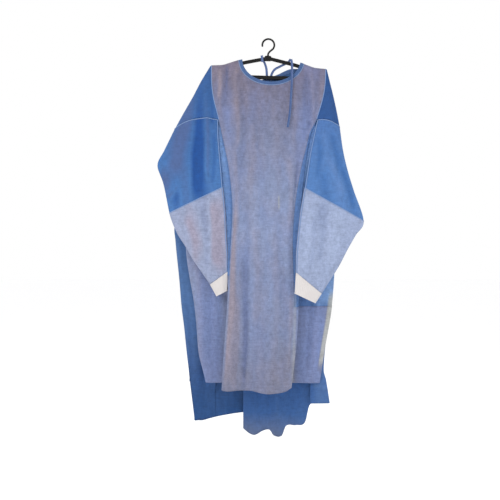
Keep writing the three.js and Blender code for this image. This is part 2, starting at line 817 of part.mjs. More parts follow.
// Narrow ties: a flat tape along a route, its width turned in the XZ plane
function tie(name, width, route) {
  const curve = new THREE.CatmullRomCurve3(route.map(([x, y, z]) => new THREE.Vector3(x, y, z)));
  const steps = (route.length - 1) * 2;
  const strip = grid({
    columns: 1,
    rows: steps,
    at: (i, j) => {
      const turn = THREE.MathUtils.degToRad(lerp(
        route[Math.floor(j / 2)][3],
        route[Math.min(Math.floor(j / 2) + 1, route.length - 1)][3],
        (j % 2) / 2,
      ));
      const side = new THREE.Vector3(Math.cos(turn), 0, Math.sin(turn));
      return curve.getPoint(j / steps).addScaledVector(side, (i - 0.5) * width);
    },
  });
  add(name, wall(strip, -TAPE / 2, TAPE / 2), TRIM);
}

const TIE_WIDTH = 10;

// x, y, z and the turn of the tape's width in degrees
tie('neck_tie_long', TIE_WIDTH, [
  [8, 8.1, -152, 0],
  [10, 7.6, -132, -25],
  [22, 6.4, -110, -45],
  [44, 6.2, -97, -55],
  [66, 6.4, -86, -40],
  [80, 5.6, -75, -12],
  [83, 0, -72, -12],
  [85, -7, -77, -6],
  [87, -15, -95, 0],
  [87, -19, -125, 0],
  [86, -21, -165, 0],
  [83, -24, -215, 2],
  [79, -28, -272, 3],
  [71, -31, -331, 5],
]);
tie('neck_tie_loop', TIE_WIDTH, [
  [-6, 8.6, -152, 0],
  [-6, 7.4, -128, 2],
  [-9, 6.4, -100, 4],
  [-19, 6.2, -74, 8],
  [-24, 5.4, -62, 12],
  [-25, 0, -58.5, 12],
  [-25, -5.6, -62, 12],
  [-24, -6.6, -74, 8],
  [-23, -6.8, -84, 5],
]);

// Hanger, drawn level and then tilted with the gown
const tilt = (p) => p.clone().applyAxisAngle(new THREE.Vector3(0, 1, 0), TILT);

const CORNER = 0.7;
const chamfered = [
  [-1, -CORNER], [-1, CORNER], [-CORNER, 1], [CORNER, 1],
  [1, CORNER], [1, -CORNER], [CORNER, -1], [-CORNER, -1],
];
const round = Array.from({ length: 10 }, (_, k) => {
  const angle = (2 * Math.PI * k) / 10;
  return [Math.cos(angle), -Math.sin(angle)];
});

// A bar of the hanger along a route in the XZ plane
function rod(name, route, height, thickness, outline) {
  const rings = route.map((p, k) => {
    const before = route[Math.max(k - 1, 0)];
    const after = route[Math.min(k + 1, route.length - 1)];
    const along = new THREE.Vector3().subVectors(after, before).normalize();
    const up = new THREE.Vector3(-along.z, 0, along.x);
    return outline.map(([a, b]) => tilt(p.clone()
      .addScaledVector(up, (a * height) / 2)
      .add(new THREE.Vector3(0, (b * thickness) / 2, 0))));
  });
  add(name, loft(rings), BLACK, 0.4);
}

const armLine = (x) => shoulderProfile(Math.abs(x)).z - CLOTH_OVER_ARM - ARM_HEIGHT / 2;

for (const [side, sign] of [['right', -1], ['left', 1]]) {
  const stations = [BOSS_WIDTH / 2 + 1.8, 50, 90, 120, 145, 165, 185, HANGER_SPAN / 2];
  rod(`hanger_arm_${side}`, stations.map((x) => new THREE.Vector3(sign * x, 0, armLine(x))),
    ARM_HEIGHT, ARM_THICKNESS, chamfered);
}

const barEnd = BAR_SPAN / 2;
const barRoute = [
  [-barEnd - 1, armLine(barEnd) - ARM_HEIGHT / 2 - 0.5],
  [-barEnd, -128],
  [-barEnd + 8, -137],
  [-barEnd + 22, BAR_Z],
  [0, BAR_Z],
  [barEnd - 22, BAR_Z],
  [barEnd - 8, -137],
  [barEnd, -128],
  [barEnd + 1, armLine(barEnd) - ARM_HEIGHT / 2 - 0.5],
];
rod('hanger_bar', barRoute.map(([x, z]) => new THREE.Vector3(x, 0, z)),
  BAR_HEIGHT, BAR_THICKNESS, chamfered);

// Hook: a stem up from the boss, then round over the rail
const hookRadius = RAIL_RADIUS + HOOK_WIRE / 2;
const hookRoute = [[0, BOSS_Z + BOSS_HEIGHT / 2 + SEAM_GAP], [0, -52], [4, -46]];
for (let degrees = -40; degrees <= 190; degrees += 20) {
  const angle = THREE.MathUtils.degToRad(degrees);
  hookRoute.push([hookRadius * Math.cos(angle), hookRadius * Math.sin(angle) - RAIL_RADIUS]);
}
rod('hanger_hook', hookRoute.map(([x, z]) => new THREE.Vector3(x, 0, z)), HOOK_WIRE, HOOK_WIRE, round);

rod('hanger_boss', [-BOSS_WIDTH / 2, BOSS_WIDTH / 2].map((x) => new THREE.Vector3(x, 0, BOSS_Z)),
  BOSS_HEIGHT, ARM_THICKNESS + 2, chamfered);

export default gown;
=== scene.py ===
"""Looks of a surgical gown that hangs on a plastic hanger.

Sizes are the part's own, in millimetres, and the meshes are made in metres. The front
of the gown is towards -Y, the wearer's right is -X, and the origin is the point where
the hook bears on a rail. Each cloth piece is a thin shell on its solid's form, with
creases placed on it.
"""

import logging
import math
from collections.abc import Sequence
from dataclasses import dataclass
from enum import Enum

import bpy
import numpy as np
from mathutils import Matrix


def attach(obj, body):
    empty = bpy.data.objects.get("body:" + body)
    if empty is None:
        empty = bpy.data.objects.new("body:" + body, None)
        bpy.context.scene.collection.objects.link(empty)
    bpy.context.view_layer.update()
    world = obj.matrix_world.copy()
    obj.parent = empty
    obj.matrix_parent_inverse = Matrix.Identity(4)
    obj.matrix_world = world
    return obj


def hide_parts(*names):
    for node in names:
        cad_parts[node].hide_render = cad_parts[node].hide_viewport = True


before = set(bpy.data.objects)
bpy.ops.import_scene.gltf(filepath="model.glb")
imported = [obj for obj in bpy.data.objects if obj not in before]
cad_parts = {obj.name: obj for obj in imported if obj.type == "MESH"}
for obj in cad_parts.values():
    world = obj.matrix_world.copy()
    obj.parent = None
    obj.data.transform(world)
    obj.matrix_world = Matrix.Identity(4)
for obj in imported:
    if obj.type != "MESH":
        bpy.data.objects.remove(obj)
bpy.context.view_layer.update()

MM = 0.001
BODY = "root"
STUDIO_LIGHT = 1.28
GLOSS_VEIL = 0.03
LEAST_TONE = 0.003
# Share of each millimetre of fold height that becomes painted highlight on ridges and painted shade in hollows.
FOLD_LIGHT_PER_LIFT = 0.45

Array = np.ndarray
Section = tuple[Array, Array]
Colour = tuple[int, int, int]

log = logging.getLogger("gown")


class Side(Enum):
    """A side of the wearer."""

    RIGHT = "right"
    LEFT = "left"

    @property
    def out(self) -> int:
        """Direction along X from the middle to this side."""
        return -1 if self is Side.RIGHT else 1


class Face(Enum):
    """The face of the garment that a crease lies on."""

    FRONT = -1
    BACK = 1
    BOTH = 0


class Slot(Enum):
    """Material slots of the record."""

    CLOTH = "gown_cloth"
    REINFORCEMENT = "reinforcement"
    KNIT = "cuff_knit"
    TRIM = "trim"
    PLASTIC = "hanger_plastic"


def lerp(start: Array, end: Array, share: Array) -> Array:
    """Value at a share of the way from start to end."""
    return start + (end - start) * share


def smooth(share: Array) -> Array:
    """Share eased at both ends and held between 0 and 1."""
    held = np.clip(share, 0.0, 1.0)
    return held * held * (3.0 - 2.0 * held)


class RowTable:
    """Sizes in given rows, with a smooth curve between the rows."""

    def __init__(self, names: Sequence[str], rows: Sequence[Sequence[float]]) -> None:
        """Keep the rows in the order of their key.

        Args:
            names: names of the columns after the key.
            rows: a key and its sizes in each row.
        """
        data = np.array(sorted(rows), float)
        place = np.arange(len(data))
        before = np.maximum(place - 1, 0)
        after = np.minimum(place + 1, len(data) - 1)
        self.names = tuple(names)
        self.keys = data[:, 0]
        self.values = data[:, 1:]
        rise = self.values[after] - self.values[before]
        self.slopes = rise / (self.keys[after] - self.keys[before])[:, None]

    def __call__(self, key: Array) -> dict[str, Array]:
        """Sizes at a key.

        Args:
            key: key or array of keys, held to the table's range.

        Returns:
            The size in each named column.
        """
        at = np.clip(np.asarray(key, float), self.keys[0], self.keys[-1])
        k = np.clip(np.searchsorted(self.keys, at, side="right") - 1, 0, len(self.keys) - 2)
        span = self.keys[k + 1] - self.keys[k]
        t = (at - self.keys[k]) / span
        t2, t3 = t * t, t * t * t
        sizes = {}
        for c, name in enumerate(self.names):
            start, end = self.values[k, c], self.values[k + 1, c]
            leave, arrive = self.slopes[k, c] * span, self.slopes[k + 1, c] * span
            sizes[name] = (
                (2 * t3 - 3 * t2 + 1) * start
                + (t3 - 2 * t2 + t) * leave
                + (3 * t2 - 2 * t3) * end
                + (t3 - t2) * arrive
            )
        return sizes


def spline(controls: Sequence[Section], place: Array) -> Section:
    """Uniform cubic B-spline through a control polygon.

    Args:
        controls: x and y of each control point, as arrays that fit place.
        place: place along the spline, counted in controls.

    Returns:
        x and y at each place.
    """
    shape = np.shape(place)
    points = np.stack([
        np.stack([np.broadcast_to(x, shape), np.broadcast_to(y, shape)]) for x, y in controls
    ])
    first = 2 * points[:1] - points[1:2]
    final = 2 * points[-1:] - points[-2:-1]
    points = np.concatenate([first, points, final])
    k = np.minimum(np.floor(place).astype(int), len(controls) - 2)
    t = place - k
    weights = ((1 - t) ** 3, 3 * t**3 - 6 * t**2 + 4, -3 * t**3 + 3 * t**2 + 3 * t + 1, t**3)
    total = np.zeros((2, *shape))
    for n, weight in enumerate(weights):
        index = np.broadcast_to(k + n, (1, 2, *shape))
        total += weight / 6 * np.take_along_axis(points, index, axis=0)[0]
    return total[0], total[1]


def stepped(stations: Sequence[float], counts: Sequence[int]) -> Array:
    """Values from station to station, each stretch in its own number of even steps."""
    parts = [
        np.linspace(a, b, n, endpoint=False)
        for a, b, n in zip(stations[:-1], stations[1:], counts)
    ]
    return np.concatenate([*parts, [stations[-1]]])


@dataclass(frozen=True)
class Crease:
    """A soft ridge or trough in cloth, laid out on the XZ plane.

    Height is positive for a ridge that stands out of the garment. The last field paints
    highlight (above zero) or shade (below zero) along the crease, and counts as millimetres of height.
    """

    start: tuple[float, float]
    end: tuple[float, float]
    width: float
    height: float
    sway: float = 0.0
    face: Face = Face.FRONT
    sharp: float = 2.0
    shading_and_grain: float = 0.0

    def profile(self, x: Array, z: Array) -> Array:
        """Share of the crease's height at points of the XZ plane.

        Args:
            x: places across.
            z: heights.

        Returns:
            The share, 1 on the crease's line.
        """
        a, b = np.array(self.start), np.array(self.end)
        length = float(np.hypot(*(b - a)))
        along = (b - a) / length
        share = ((x - a[0]) * along[0] + (z - a[1]) * along[1]) / length
        off = (x - a[0]) * along[1] - (z - a[1]) * along[0]
        off = off - self.sway * np.sin(2 * math.pi * share * 1.3 + 0.6)
        ends = smooth(share / 0.22) * smooth((1 - share) / 0.22)
        return ends * np.exp(-np.abs(off / self.width) ** self.sharp)


def lifted(x: Array, z: Array, creases: Sequence[Crease], face: Array) -> tuple[Array, Array]:
    """Sum of the creases on the faces that they lie on.

    Args:
        x: places across.
        z: heights.
        creases: the creases of a piece.
        face: -1 on the front face, 1 on the back one, and shares between them.

    Returns:
        Distance out of the garment, and the painted highlight (above zero) and shade (below zero), both in
        millimetres.
    """
    lift = np.zeros(np.broadcast(x, z, face).shape)
    shading_and_grain = np.zeros_like(lift)
    for crease in creases:
        share = crease.profile(x, z)
        if crease.face is not Face.BOTH:
            share = share * smooth(0.5 + crease.face.value * face)
        lift += crease.height * share
        shading_and_grain += crease.shading_and_grain * share
    return lift, shading_and_grain


@dataclass
class Sheet:
    """A grid of points over a cloth piece, rows from top to bottom, in millimetres."""

    points: Array
    outward: float
    closed: bool = False
    active: Array | None = None
    # Ridge: painted highlight above zero, painted shade below. Pale: share of the painted pale highlight, and
    # below zero of the painted shaded tone.
    ridge: Array | None = None
    pale: Array | None = None

    def __post_init__(self) -> None:
        """Fill in what the maker left out."""
        rows, columns = self.points.shape[0] - 1, self.points.shape[1] - (not self.closed)
        if self.active is None:
            self.active = np.ones((rows, columns), bool)
        if self.ridge is None:
            self.ridge = np.zeros(self.points.shape[:2])
        if self.pale is None:
            self.pale = np.zeros(self.points.shape[:2])

    def corners(self) -> tuple[Array, Array, Array, Array]:
        """Points at the four corners of each cell."""
        near = self.points
        far = np.roll(near, -1, axis=1) if self.closed else near[:, 1:]
        near = near if self.closed else near[:, :-1]
        return near[:-1], far[:-1], far[1:], near[1:]

    def normals(self) -> Array:
        """Mean normal at each point, pointing out of the garment."""
        p, q, r, s = self.corners()
        cell = np.cross(r - p, s - q)
        cell /= np.maximum(np.linalg.norm(cell, axis=2, keepdims=True), 1e-9)
        cell *= self.active[:, :, None]
        total = np.zeros_like(self.points)
        last = slice(None) if self.closed else slice(0, -1)
        total[:-1, last] += cell
        total[1:, last] += cell
        if self.closed:
            total[:-1] += np.roll(cell, 1, axis=1)
            total[1:] += np.roll(cell, 1, axis=1)
        else:
            total[:-1, 1:] += cell
            total[1:, 1:] += cell
        total /= np.maximum(np.linalg.norm(total, axis=2, keepdims=True), 1e-9)
        return total * self.outward

    def raised(self, lift: Array, shading_and_grain: Array | float = 0.0) -> "Sheet":
        """The same sheet with each point moved out by a distance, with painted highlight on its ridges and painted
        shade in its hollows.
        """
        points = self.points + self.normals() * lift[:, :, None]
        ridge = self.ridge + FOLD_LIGHT_PER_LIFT * lift + shading_and_grain
        return Sheet(points, self.outward, self.closed, self.active, ridge, self.pale)

    def cut(self) -> tuple[float, float, float]:
        """Flat width, length and area of the cloth, in metres."""
        p, q, r, s = self.corners()
        across = np.linalg.norm(q - p, axis=2) * self.active
        down = np.linalg.norm(s - p, axis=2) * self.active
        area = np.linalg.norm(np.cross(r - p, s - q), axis=2) / 2 * self.active
        width = float(across.sum(axis=1).max()) * MM
        length = float(down.sum(axis=0).max()) * MM
        return width, length, float(area.sum()) * MM * MM

    def cloth_places(self) -> Array:
        """Places on the flat cloth, in metres: across and down at each point."""
        across = np.linalg.norm(np.diff(self.points, axis=1), axis=2).mean(axis=0)
        down = np.linalg.norm(np.diff(self.points, axis=0), axis=2).mean(axis=1)
        u = np.concatenate([[0.0], np.cumsum(across)]) * MM
        v = np.concatenate([[0.0], np.cumsum(down)]) * MM
        return np.stack(np.broadcast_arrays(u[None, :], -v[:, None]), axis=2)


@dataclass
class Shape:
    """Vertices in metres, faces, and what the finishes read at each vertex."""

    vertices: Array
    faces: list[Array]
    # Ridge and pale carry the painted highlight and shade.
    ridge: Array | None = None
    pale: Array | None = None
    places: Array | None = None

    def joined(self, other: "Shape") -> "Shape":
        """This shape and another one as a single shape."""
        count = len(self.vertices)
        return Shape(
            np.concatenate([self.vertices, other.vertices]),
            self.faces + [block + count for block in other.faces],
            places=np.concatenate([self.places, other.places]),
        )


def shell(sheet: Sheet, inner: Array | float, outer: Array | float, keep: Array | None = None) -> Shape:
    """A closed thin wall between two distances out of a sheet.

    Args:
        sheet: the sheet that it lies on.
        inner: distance of the inside face, in millimetres.
        outer: distance of the outside face.
        keep: cells that the wall covers, all active ones if left out.

    Returns:
        The wall.
    """
    rows, count = sheet.points.shape[:2]
    kept = sheet.active if keep is None else sheet.active & keep
    normals = sheet.normals()
    faces = []
    layers = []
    for distance in (inner, outer):
        offset = np.broadcast_to(np.asarray(distance, float), (rows, count))
        layers.append(sheet.points + normals * offset[:, :, None])
    index = np.arange(rows * count).reshape(rows, count)
    beside = np.roll(index, -1, axis=1)
    if not sheet.closed:
        index_near, beside = index[:, :-1], beside[:, :-1]
    else:
        index_near = index
    corner = [index_near[:-1], beside[:-1], beside[1:], index_near[1:]]
    turned = sheet.outward < 0
    total = rows * count
    quad = np.stack([c[kept] for c in corner], axis=1)
    outside, inside = quad + total, quad[:, ::-1]
    if turned:
        outside, inside = outside[:, ::-1], quad
    faces += [outside, inside]
    if sheet.closed:
        left, right = np.roll(kept, 1, axis=1), np.roll(kept, -1, axis=1)
    else:
        left = np.pad(kept, ((0, 0), (1, 0)))[:, :-1]
        right = np.pad(kept, ((0, 0), (0, 1)))[:, 1:]
    above = np.pad(kept, ((1, 0), (0, 0)))[:-1]
    below = np.pad(kept, ((0, 1), (0, 0)))[1:]
    for n, neighbour in enumerate((above, right, below, left)):
        edge = kept & ~neighbour
        start, end = corner[n][edge], corner[(n + 1) % 4][edge]
        rim = np.stack([end + total, start + total, start, end], axis=1)
        faces.append(rim[:, ::-1] if turned else rim)
    vertices = np.concatenate([layer.reshape(-1, 3) for layer in layers]) * MM
    places = sheet.cloth_places()
    if sheet.closed:
        places = places[:, :count]
    shape = Shape(
        vertices,
        faces,
        np.tile(sheet.ridge.reshape(-1), 2),
        np.tile(sheet.pale.reshape(-1), 2),
        np.tile(places.reshape(-1, 2), (2, 1)),
    )
    return compact(shape)


def compact(shape: Shape) -> Shape:
    """The shape without vertices that no face uses."""
    used = np.unique(np.concatenate([block.reshape(-1) for block in shape.faces]))
    fresh = np.full(len(shape.vertices), -1)
    fresh[used] = np.arange(len(used))
    return Shape(
        shape.vertices[used],
        [fresh[block] for block in shape.faces],
        None if shape.ridge is None else shape.ridge[used],
        None if shape.pale is None else shape.pale[used],
        None if shape.places is None else shape.places[used],
    )


def tube(path: Array, sides: Array, ups: Array, outline: Array, closed: bool = False) -> Shape:
    """A solid swept along a path.

    Args:
        path: points of the path, in millimetres.
        sides: direction across at each point.
        ups: direction up at each point.
        outline: across and up of each outline point, one ring or one for each path point.
        closed: True where the path runs back into its start.

    Returns:
        The swept solid, with its ends capped where it is open.
    """
    rings = np.broadcast_to(outline, (len(path), *outline.shape[-2:]))
    points = (
        path[:, None]
        + sides[:, None] * rings[:, :, :1]
        + ups[:, None] * rings[:, :, 1:]
    )
    count = rings.shape[1]
    index = np.arange(len(path) * count).reshape(len(path), count)
    ahead = np.roll(index, -1, axis=0) if closed else index[1:]
    here = index if closed else index[:-1]
    quads = np.stack(
        [here, np.roll(here, -1, axis=1), np.roll(ahead, -1, axis=1), ahead], axis=2
    ).reshape(-1, 4)
    faces = [quads]
    if not closed:
        faces += [index[0][::-1].reshape(1, -1), index[-1].reshape(1, -1)]
    step = np.linalg.norm(np.diff(path, axis=0, prepend=path[:1]), axis=1)
    along = np.repeat(np.cumsum(step), count) * MM
    around = np.tile(np.linspace(0, 1, count), len(path)) * 4 * MM
    return Shape(points.reshape(-1, 3) * MM, faces, places=np.stack([around, along], axis=1))


def welt(
    points: Array, normals: Array, width: float, height: float, pitch: float, waist: float = 0.45
) -> Shape:
    """A raised line of stitches that lies on cloth.

    Args:
        points: points of the line, in millimetres.
        normals: the cloth's outward normal at each point.
        width: width of the line.
        height: how far it stands out.
        pitch: length of one stitch.
        waist: share of its size that is left between two stitches.

    Returns:
        The seam line.
    """
    line, up = evenly(points, normals, max(pitch / 4, 1.0))
    along = np.gradient(line, axis=0)
    along /= np.maximum(np.linalg.norm(along, axis=1, keepdims=True), 1e-9)
    side = np.cross(along, up)
    side /= np.maximum(np.linalg.norm(side, axis=1, keepdims=True), 1e-9)
    turn = np.linspace(0, 2 * math.pi, 8, endpoint=False)
    ring = np.stack([np.cos(turn) * width / 2, np.maximum(np.sin(turn), -0.4) * height], axis=1)
    run = np.concatenate([[0], np.cumsum(np.linalg.norm(np.diff(line, axis=0), axis=1))])
    beat = 0.5 + 0.5 * np.cos(2 * math.pi * run / pitch)
    rings = ring[None] * lerp(waist, 1.0, beat)[:, None, None]
    return tube(line, side, up, rings)


def evenly(points: Array, normals: Array, spacing: float) -> tuple[Array, Array]:
    """Points and normals at even distances along a line.

    Args:
        points: points of the line.
        normals: a normal at each point.
        spacing: distance wanted between new points.

    Returns:
        The new points and their normals.
    """
    run = np.concatenate([[0], np.cumsum(np.linalg.norm(np.diff(points, axis=0), axis=1))])
    fresh = np.linspace(0, run[-1], max(int(run[-1] / spacing), 4) + 1)
    line = np.stack([np.interp(fresh, run, points[:, c]) for c in range(3)], axis=1)
    up = np.stack([np.interp(fresh, run, normals[:, c]) for c in range(3)], axis=1)
    return line, up / np.maximum(np.linalg.norm(up, axis=1, keepdims=True), 1e-9)


def linear(colour: Colour) -> tuple[float, float, float, float]:
    """A screen colour as the linear colour that a shader takes."""
    share = np.array(colour) / 255
    value = np.where(share <= 0.04045, share / 12.92, ((share + 0.055) / 1.055) ** 2.4)
    return (*map(float, value), 1.0)


def seen(colour: Colour) -> tuple[float, float, float, float]:
    """The own colour of a surface that shows a screen colour in the studio's light."""
    own = [max(value - GLOSS_VEIL, LEAST_TONE) / STUDIO_LIGHT for value in linear(colour)[:3]]
    return (*own, 1.0)


class NodeBench:
    """A material's nodes, added and linked one after another."""

    def __init__(self, name: str) -> None:
        """Start a material that holds only its shader.

        Args:
            name: name of the material.
        """
        self.material = bpy.data.materials.new(name)
        self.material.use_nodes = True
        self.tree = self.material.node_tree
        self.shader = self.tree.nodes["Principled BSDF"]

    def add(
        self, kind: str, inputs: dict[str | int, object] | None = None, **settings: object
    ) -> bpy.types.Node:
        """Add a node.

        Args:
            kind: type of the node.
            inputs: a value or an output socket for each input.
            settings: properties of the node.

        Returns:
            The node.
        """
        node = self.tree.nodes.new(kind)
        for key, value in settings.items():
            setattr(node, key, value)
        for key, value in (inputs or {}).items():
            self.feed(node.inputs[key], value)
        return node

    def feed(self, socket: bpy.types.NodeSocket, value: object) -> None:
        """Give an input socket a value or a link."""
        if isinstance(value, bpy.types.NodeSocket):
            self.tree.links.new(value, socket)
        else:
            socket.default_value = value

    def math(self, operation: str, first: object, second: object = 0.0) -> bpy.types.NodeSocket:
        """The result of a sum on one or two values."""
        node = self.add("ShaderNodeMath", {0: first, 1: second}, operation=operation)
        return node.outputs[0]

    def mix(
        self, share: object, first: object, second: object, blend: str = "MIX"
    ) -> bpy.types.NodeSocket:
        """A colour between two colours.

        Args:
            share: how much of the second colour there is.
            first: the first colour.
            second: the second colour.
            blend: how they are blended.

        Returns:
            The colour socket.
        """
        node = self.add("ShaderNodeMix", data_type="RGBA", blend_type=blend)
        self.feed(node.inputs["Factor"], share)
        self.feed(node.inputs["A"], first)
        self.feed(node.inputs["B"], second)
        return node.outputs["Result"]

    def noise(
        self, size: float, detail: float, stretch: tuple[float, float, float] = (1, 1, 1)
    ) -> bpy.types.NodeSocket:
        """Clouds of about a size in millimetres, stretched along the axes."""
        place = self.add("ShaderNodeNewGeometry").outputs["Position"]
        scale = tuple(1 / (size * MM * s) for s in stretch)
        spread = self.add("ShaderNodeMapping", {"Vector": place, "Scale": scale})
        cloud = self.add(
            "ShaderNodeTexNoise",
            {"Vector": spread.outputs["Vector"], "Scale": 1.0, "Detail": detail, "Roughness": 0.6},
        )
        return cloud.outputs["Fac"]

    def spread(
        self, value: object, low: float, high: float, start: float, end: float
    ) -> bpy.types.NodeSocket:
        """A value between low and high as one between start and end.

        Args:
            value: the value.
            low: where the result is start.
            high: where the result is end.
            start: result at low.
            end: result at high.

        Returns:
            The socket of the result, held between start and end.
        """
        inputs = {"Value": value, "From Min": low, "From Max": high, "To Min": start, "To Max": end}
        return self.add("ShaderNodeMapRange", inputs).outputs["Result"]

    def total(self, *parts: tuple[object, float]) -> bpy.types.NodeSocket:
        """Sum of values, each times its weight."""
        result = 0.0
        for value, weight in parts:
            result = self.math("ADD", self.math("MULTIPLY", value, weight), result)
        return result

    def ramp(self, value: object, stops: Sequence[tuple[float, Colour]]) -> bpy.types.NodeSocket:
        """A colour for a value between 0 and 1.

        Args:
            value: the value.
            stops: places and their colours.

        Returns:
            The colour socket.
        """
        node = self.add("ShaderNodeValToRGB", {"Fac": value})
        elements = node.color_ramp.elements
        while len(elements) < len(stops):
            elements.new(0.5)
        for element, (place, colour) in zip(elements, stops):
            element.position = place
            element.color = seen(colour)
        return node.outputs["Color"]

    def attribute(self, name: str) -> bpy.types.NodeSocket:
        """The number that a mesh carries under a name."""
        return self.add("ShaderNodeAttribute", attribute_name=name).outputs["Fac"]


@dataclass(frozen=True)
class NonwovenFinish:
    """Spunbond cloth: bonded points, streaked fibres and cloudy formation.

    Tones are colours by height, from the top down, some with painted light and shade in them.
    The ridge colour is painted highlight where the cloth stands forward and the trough colour
    painted shade where it falls back. The mesh says where the pale colour, a painted highlight,
    shows and, with shares below zero, where the shaded tone, a painted bluish shade, does.
    """

    name: str
    tones: tuple[tuple[float, Colour], ...]
    ridge: Colour
    trough_shade: Colour
    # Pale is a painted highlight colour; the shaded tone is painted bluish shade.
    pale: Colour = (192, 193, 187)
    shaded_tone: Colour = (100, 134, 192)
    # Shares of the painted highlight and the painted shade at full ridge height.
    highlight_share: float = 0.6
    shade_share: float = 0.6
    drift: float = 0.1
    deep_drift: float = 0.1
    mottle: float = 0.26
    cloud: float = 16.0
    bond_pitch: float = 1.6
    roughness: float = 0.72
    sheen: float = 0.06

    def build(self) -> bpy.types.Material:
        """The material of this cloth.

        Returns:
            The material.
        """
        bench = NodeBench(self.name)
        place = bench.add("ShaderNodeNewGeometry").outputs["Position"]
        height = bench.add("ShaderNodeSeparateXYZ", {0: place}).outputs["Z"]
        top, bottom = self.tones[0][0] * MM, self.tones[-1][0] * MM
        wander = bench.total((height, 1.0), (bench.noise(160, 2, (1, 1, 2)), 0.12))
        level = bench.spread(wander, bottom + 0.06, top + 0.06, 0.0, 1.0)
        stops = sorted((((z * MM - bottom) / (top - bottom)), colour) for z, colour in self.tones)
        colour = bench.ramp(level, stops)

        # Random streaks of the ridge colour and random patches of the shaded tone.
        drift = bench.spread(bench.noise(60, 3, (0.8, 1, 2.4)), 0.42, 0.66, 0.0, self.drift)
        colour = bench.mix(drift, colour, seen(self.ridge))
        deepening = bench.spread(bench.noise(90, 3, (1, 1, 1.7)), 0.42, 0.64, 0.0, self.deep_drift)
        colour = bench.mix(deepening, colour, seen(self.shaded_tone))
        # Painted highlight on ridges and painted shade in troughs, by the mesh's ridge share.
        ridge = bench.attribute("ridge")
        forward = bench.spread(ridge, 0.3, 5.0, 0.0, self.highlight_share)
        back = bench.spread(ridge, -0.3, -5.0, 0.0, self.shade_share)
        colour = bench.mix(forward, colour, seen(self.ridge))
        colour = bench.mix(back, colour, seen(self.trough_shade))
        # Painted pale highlight where the mesh's pale share is above zero, painted shaded tone where it is below.
        pale = bench.attribute("pale")
        colour = bench.mix(bench.spread(pale, 0.0, -1.0, 0.0, 1.0), colour, seen(self.shaded_tone))
        colour = bench.mix(bench.spread(pale, 0.0, 1.0, 0.0, 1.0), colour, seen(self.pale))

        # Random grain of the cloth: formation, fibres and crepe, laid over the colour.
        formation = bench.noise(self.cloud, 6, (0.8, 1, 1.2))
        fibres = bench.noise(2.6, 5, (0.7, 1, 2.6))
        crepe = bench.noise(6.0, 4, (4.5, 1, 0.7))
        grain = bench.total((formation, 0.42), (fibres, 0.26), (crepe, 0.32))
        shade = bench.spread(grain, 0.36, 0.64, 1 - self.mottle, 1 + self.mottle)
        shading_and_grain = bench.add("ShaderNodeCombineColor", {"Red": shade, "Green": shade, "Blue": shade})
        colour = bench.mix(1.0, colour, shading_and_grain.outputs["Color"], "MULTIPLY")
        bench.feed(bench.shader.inputs["Base Color"], colour)

        uv = bench.add("ShaderNodeUVMap", uv_map="cloth").outputs["UV"]
        parts = bench.add("ShaderNodeSeparateXYZ", {0: uv})
        beat = 2 * math.pi / (self.bond_pitch * MM)
        across = bench.math("SINE", bench.math("MULTIPLY", parts.outputs["X"], beat))
        down = bench.math("SINE", bench.math("MULTIPLY", parts.outputs["Y"], beat))
        bonds = bench.math("MULTIPLY", across, down)
        relief = bench.total((bonds, 0.10), (fibres, 0.5), (crepe, 0.9), (formation, 1.6))
        bump = bench.add("ShaderNodeBump", {"Height": relief, "Strength": 0.55, "Distance": 0.0011})
        bench.feed(bench.shader.inputs["Normal"], bump.outputs["Normal"])
        rough = bench.spread(formation, 0.0, 1.0, self.roughness - 0.08, self.roughness + 0.1)
        bench.feed(bench.shader.inputs["Roughness"], rough)
        bench.shader.inputs["Sheen Weight"].default_value = self.sheen
        bench.shader.inputs["Sheen Roughness"].default_value = 0.45
        bench.shader.inputs["Specular IOR Level"].default_value = 0.24
        return bench.material


@dataclass(frozen=True)
class KnitFinish:
    """Ribbed polyester knit with fine courses across its ribs."""

    name: str
    colour: Colour
    shade: Colour
    furrow_shade: Colour = (190, 182, 178)
    course: float = 1.1

    def build(self) -> bpy.types.Material:
        """The material of the knit.

        Returns:
            The material.
        """
        bench = NodeBench(self.name)
        uv = bench.add("ShaderNodeUVMap", uv_map="cloth").outputs["UV"]
        parts = bench.add("ShaderNodeSeparateXYZ", {0: uv})
        beat = 2 * math.pi / (self.course * MM)
        loops = bench.math("SINE", bench.math("MULTIPLY", parts.outputs["Y"], beat))
        wales = bench.math("SINE", bench.math("MULTIPLY", parts.outputs["X"], beat * 0.9))
        fuzz = bench.noise(1.2, 4)
        soil = bench.noise(22, 3)
        colour = bench.mix(soil, seen(self.colour), seen(self.shade))
        # Painted shade in the furrows between the ribs.
        furrow_shade = bench.spread(bench.attribute("ridge"), -0.2, 1.2, 0.35, 0.0)
        colour = bench.mix(furrow_shade, colour, seen(self.furrow_shade))
        bench.feed(bench.shader.inputs["Base Color"], colour)
        relief = bench.total((loops, 0.22), (wales, 0.14), (fuzz, 0.7))
        bump = bench.add("ShaderNodeBump", {"Height": relief, "Strength": 0.6, "Distance": 0.0006})
        bench.feed(bench.shader.inputs["Normal"], bump.outputs["Normal"])
        bench.shader.inputs["Roughness"].default_value = 0.9
        bench.shader.inputs["Sheen Weight"].default_value = 0.35
        return bench.material


@dataclass(frozen=True)
class ThreadFinish:
    """Twisted sewing thread, or the bright line of a welded seam."""

    name: str
    colour: Colour
    shade: Colour

    def build(self) -> bpy.types.Material:
        """The material of the thread.

        Returns:
            The material.
        """
        bench = NodeBench(self.name)
        twist = bench.noise(1.4, 3)
        colour = bench.mix(twist, seen(self.colour), seen(self.shade))
        bench.feed(bench.shader.inputs["Base Color"], colour)
        bump = bench.add("ShaderNodeBump", {"Height": twist, "Strength": 0.5, "Distance": 0.0004})
        bench.feed(bench.shader.inputs["Normal"], bump.outputs["Normal"])
        bench.shader.inputs["Roughness"].default_value = 0.6
        return bench.material


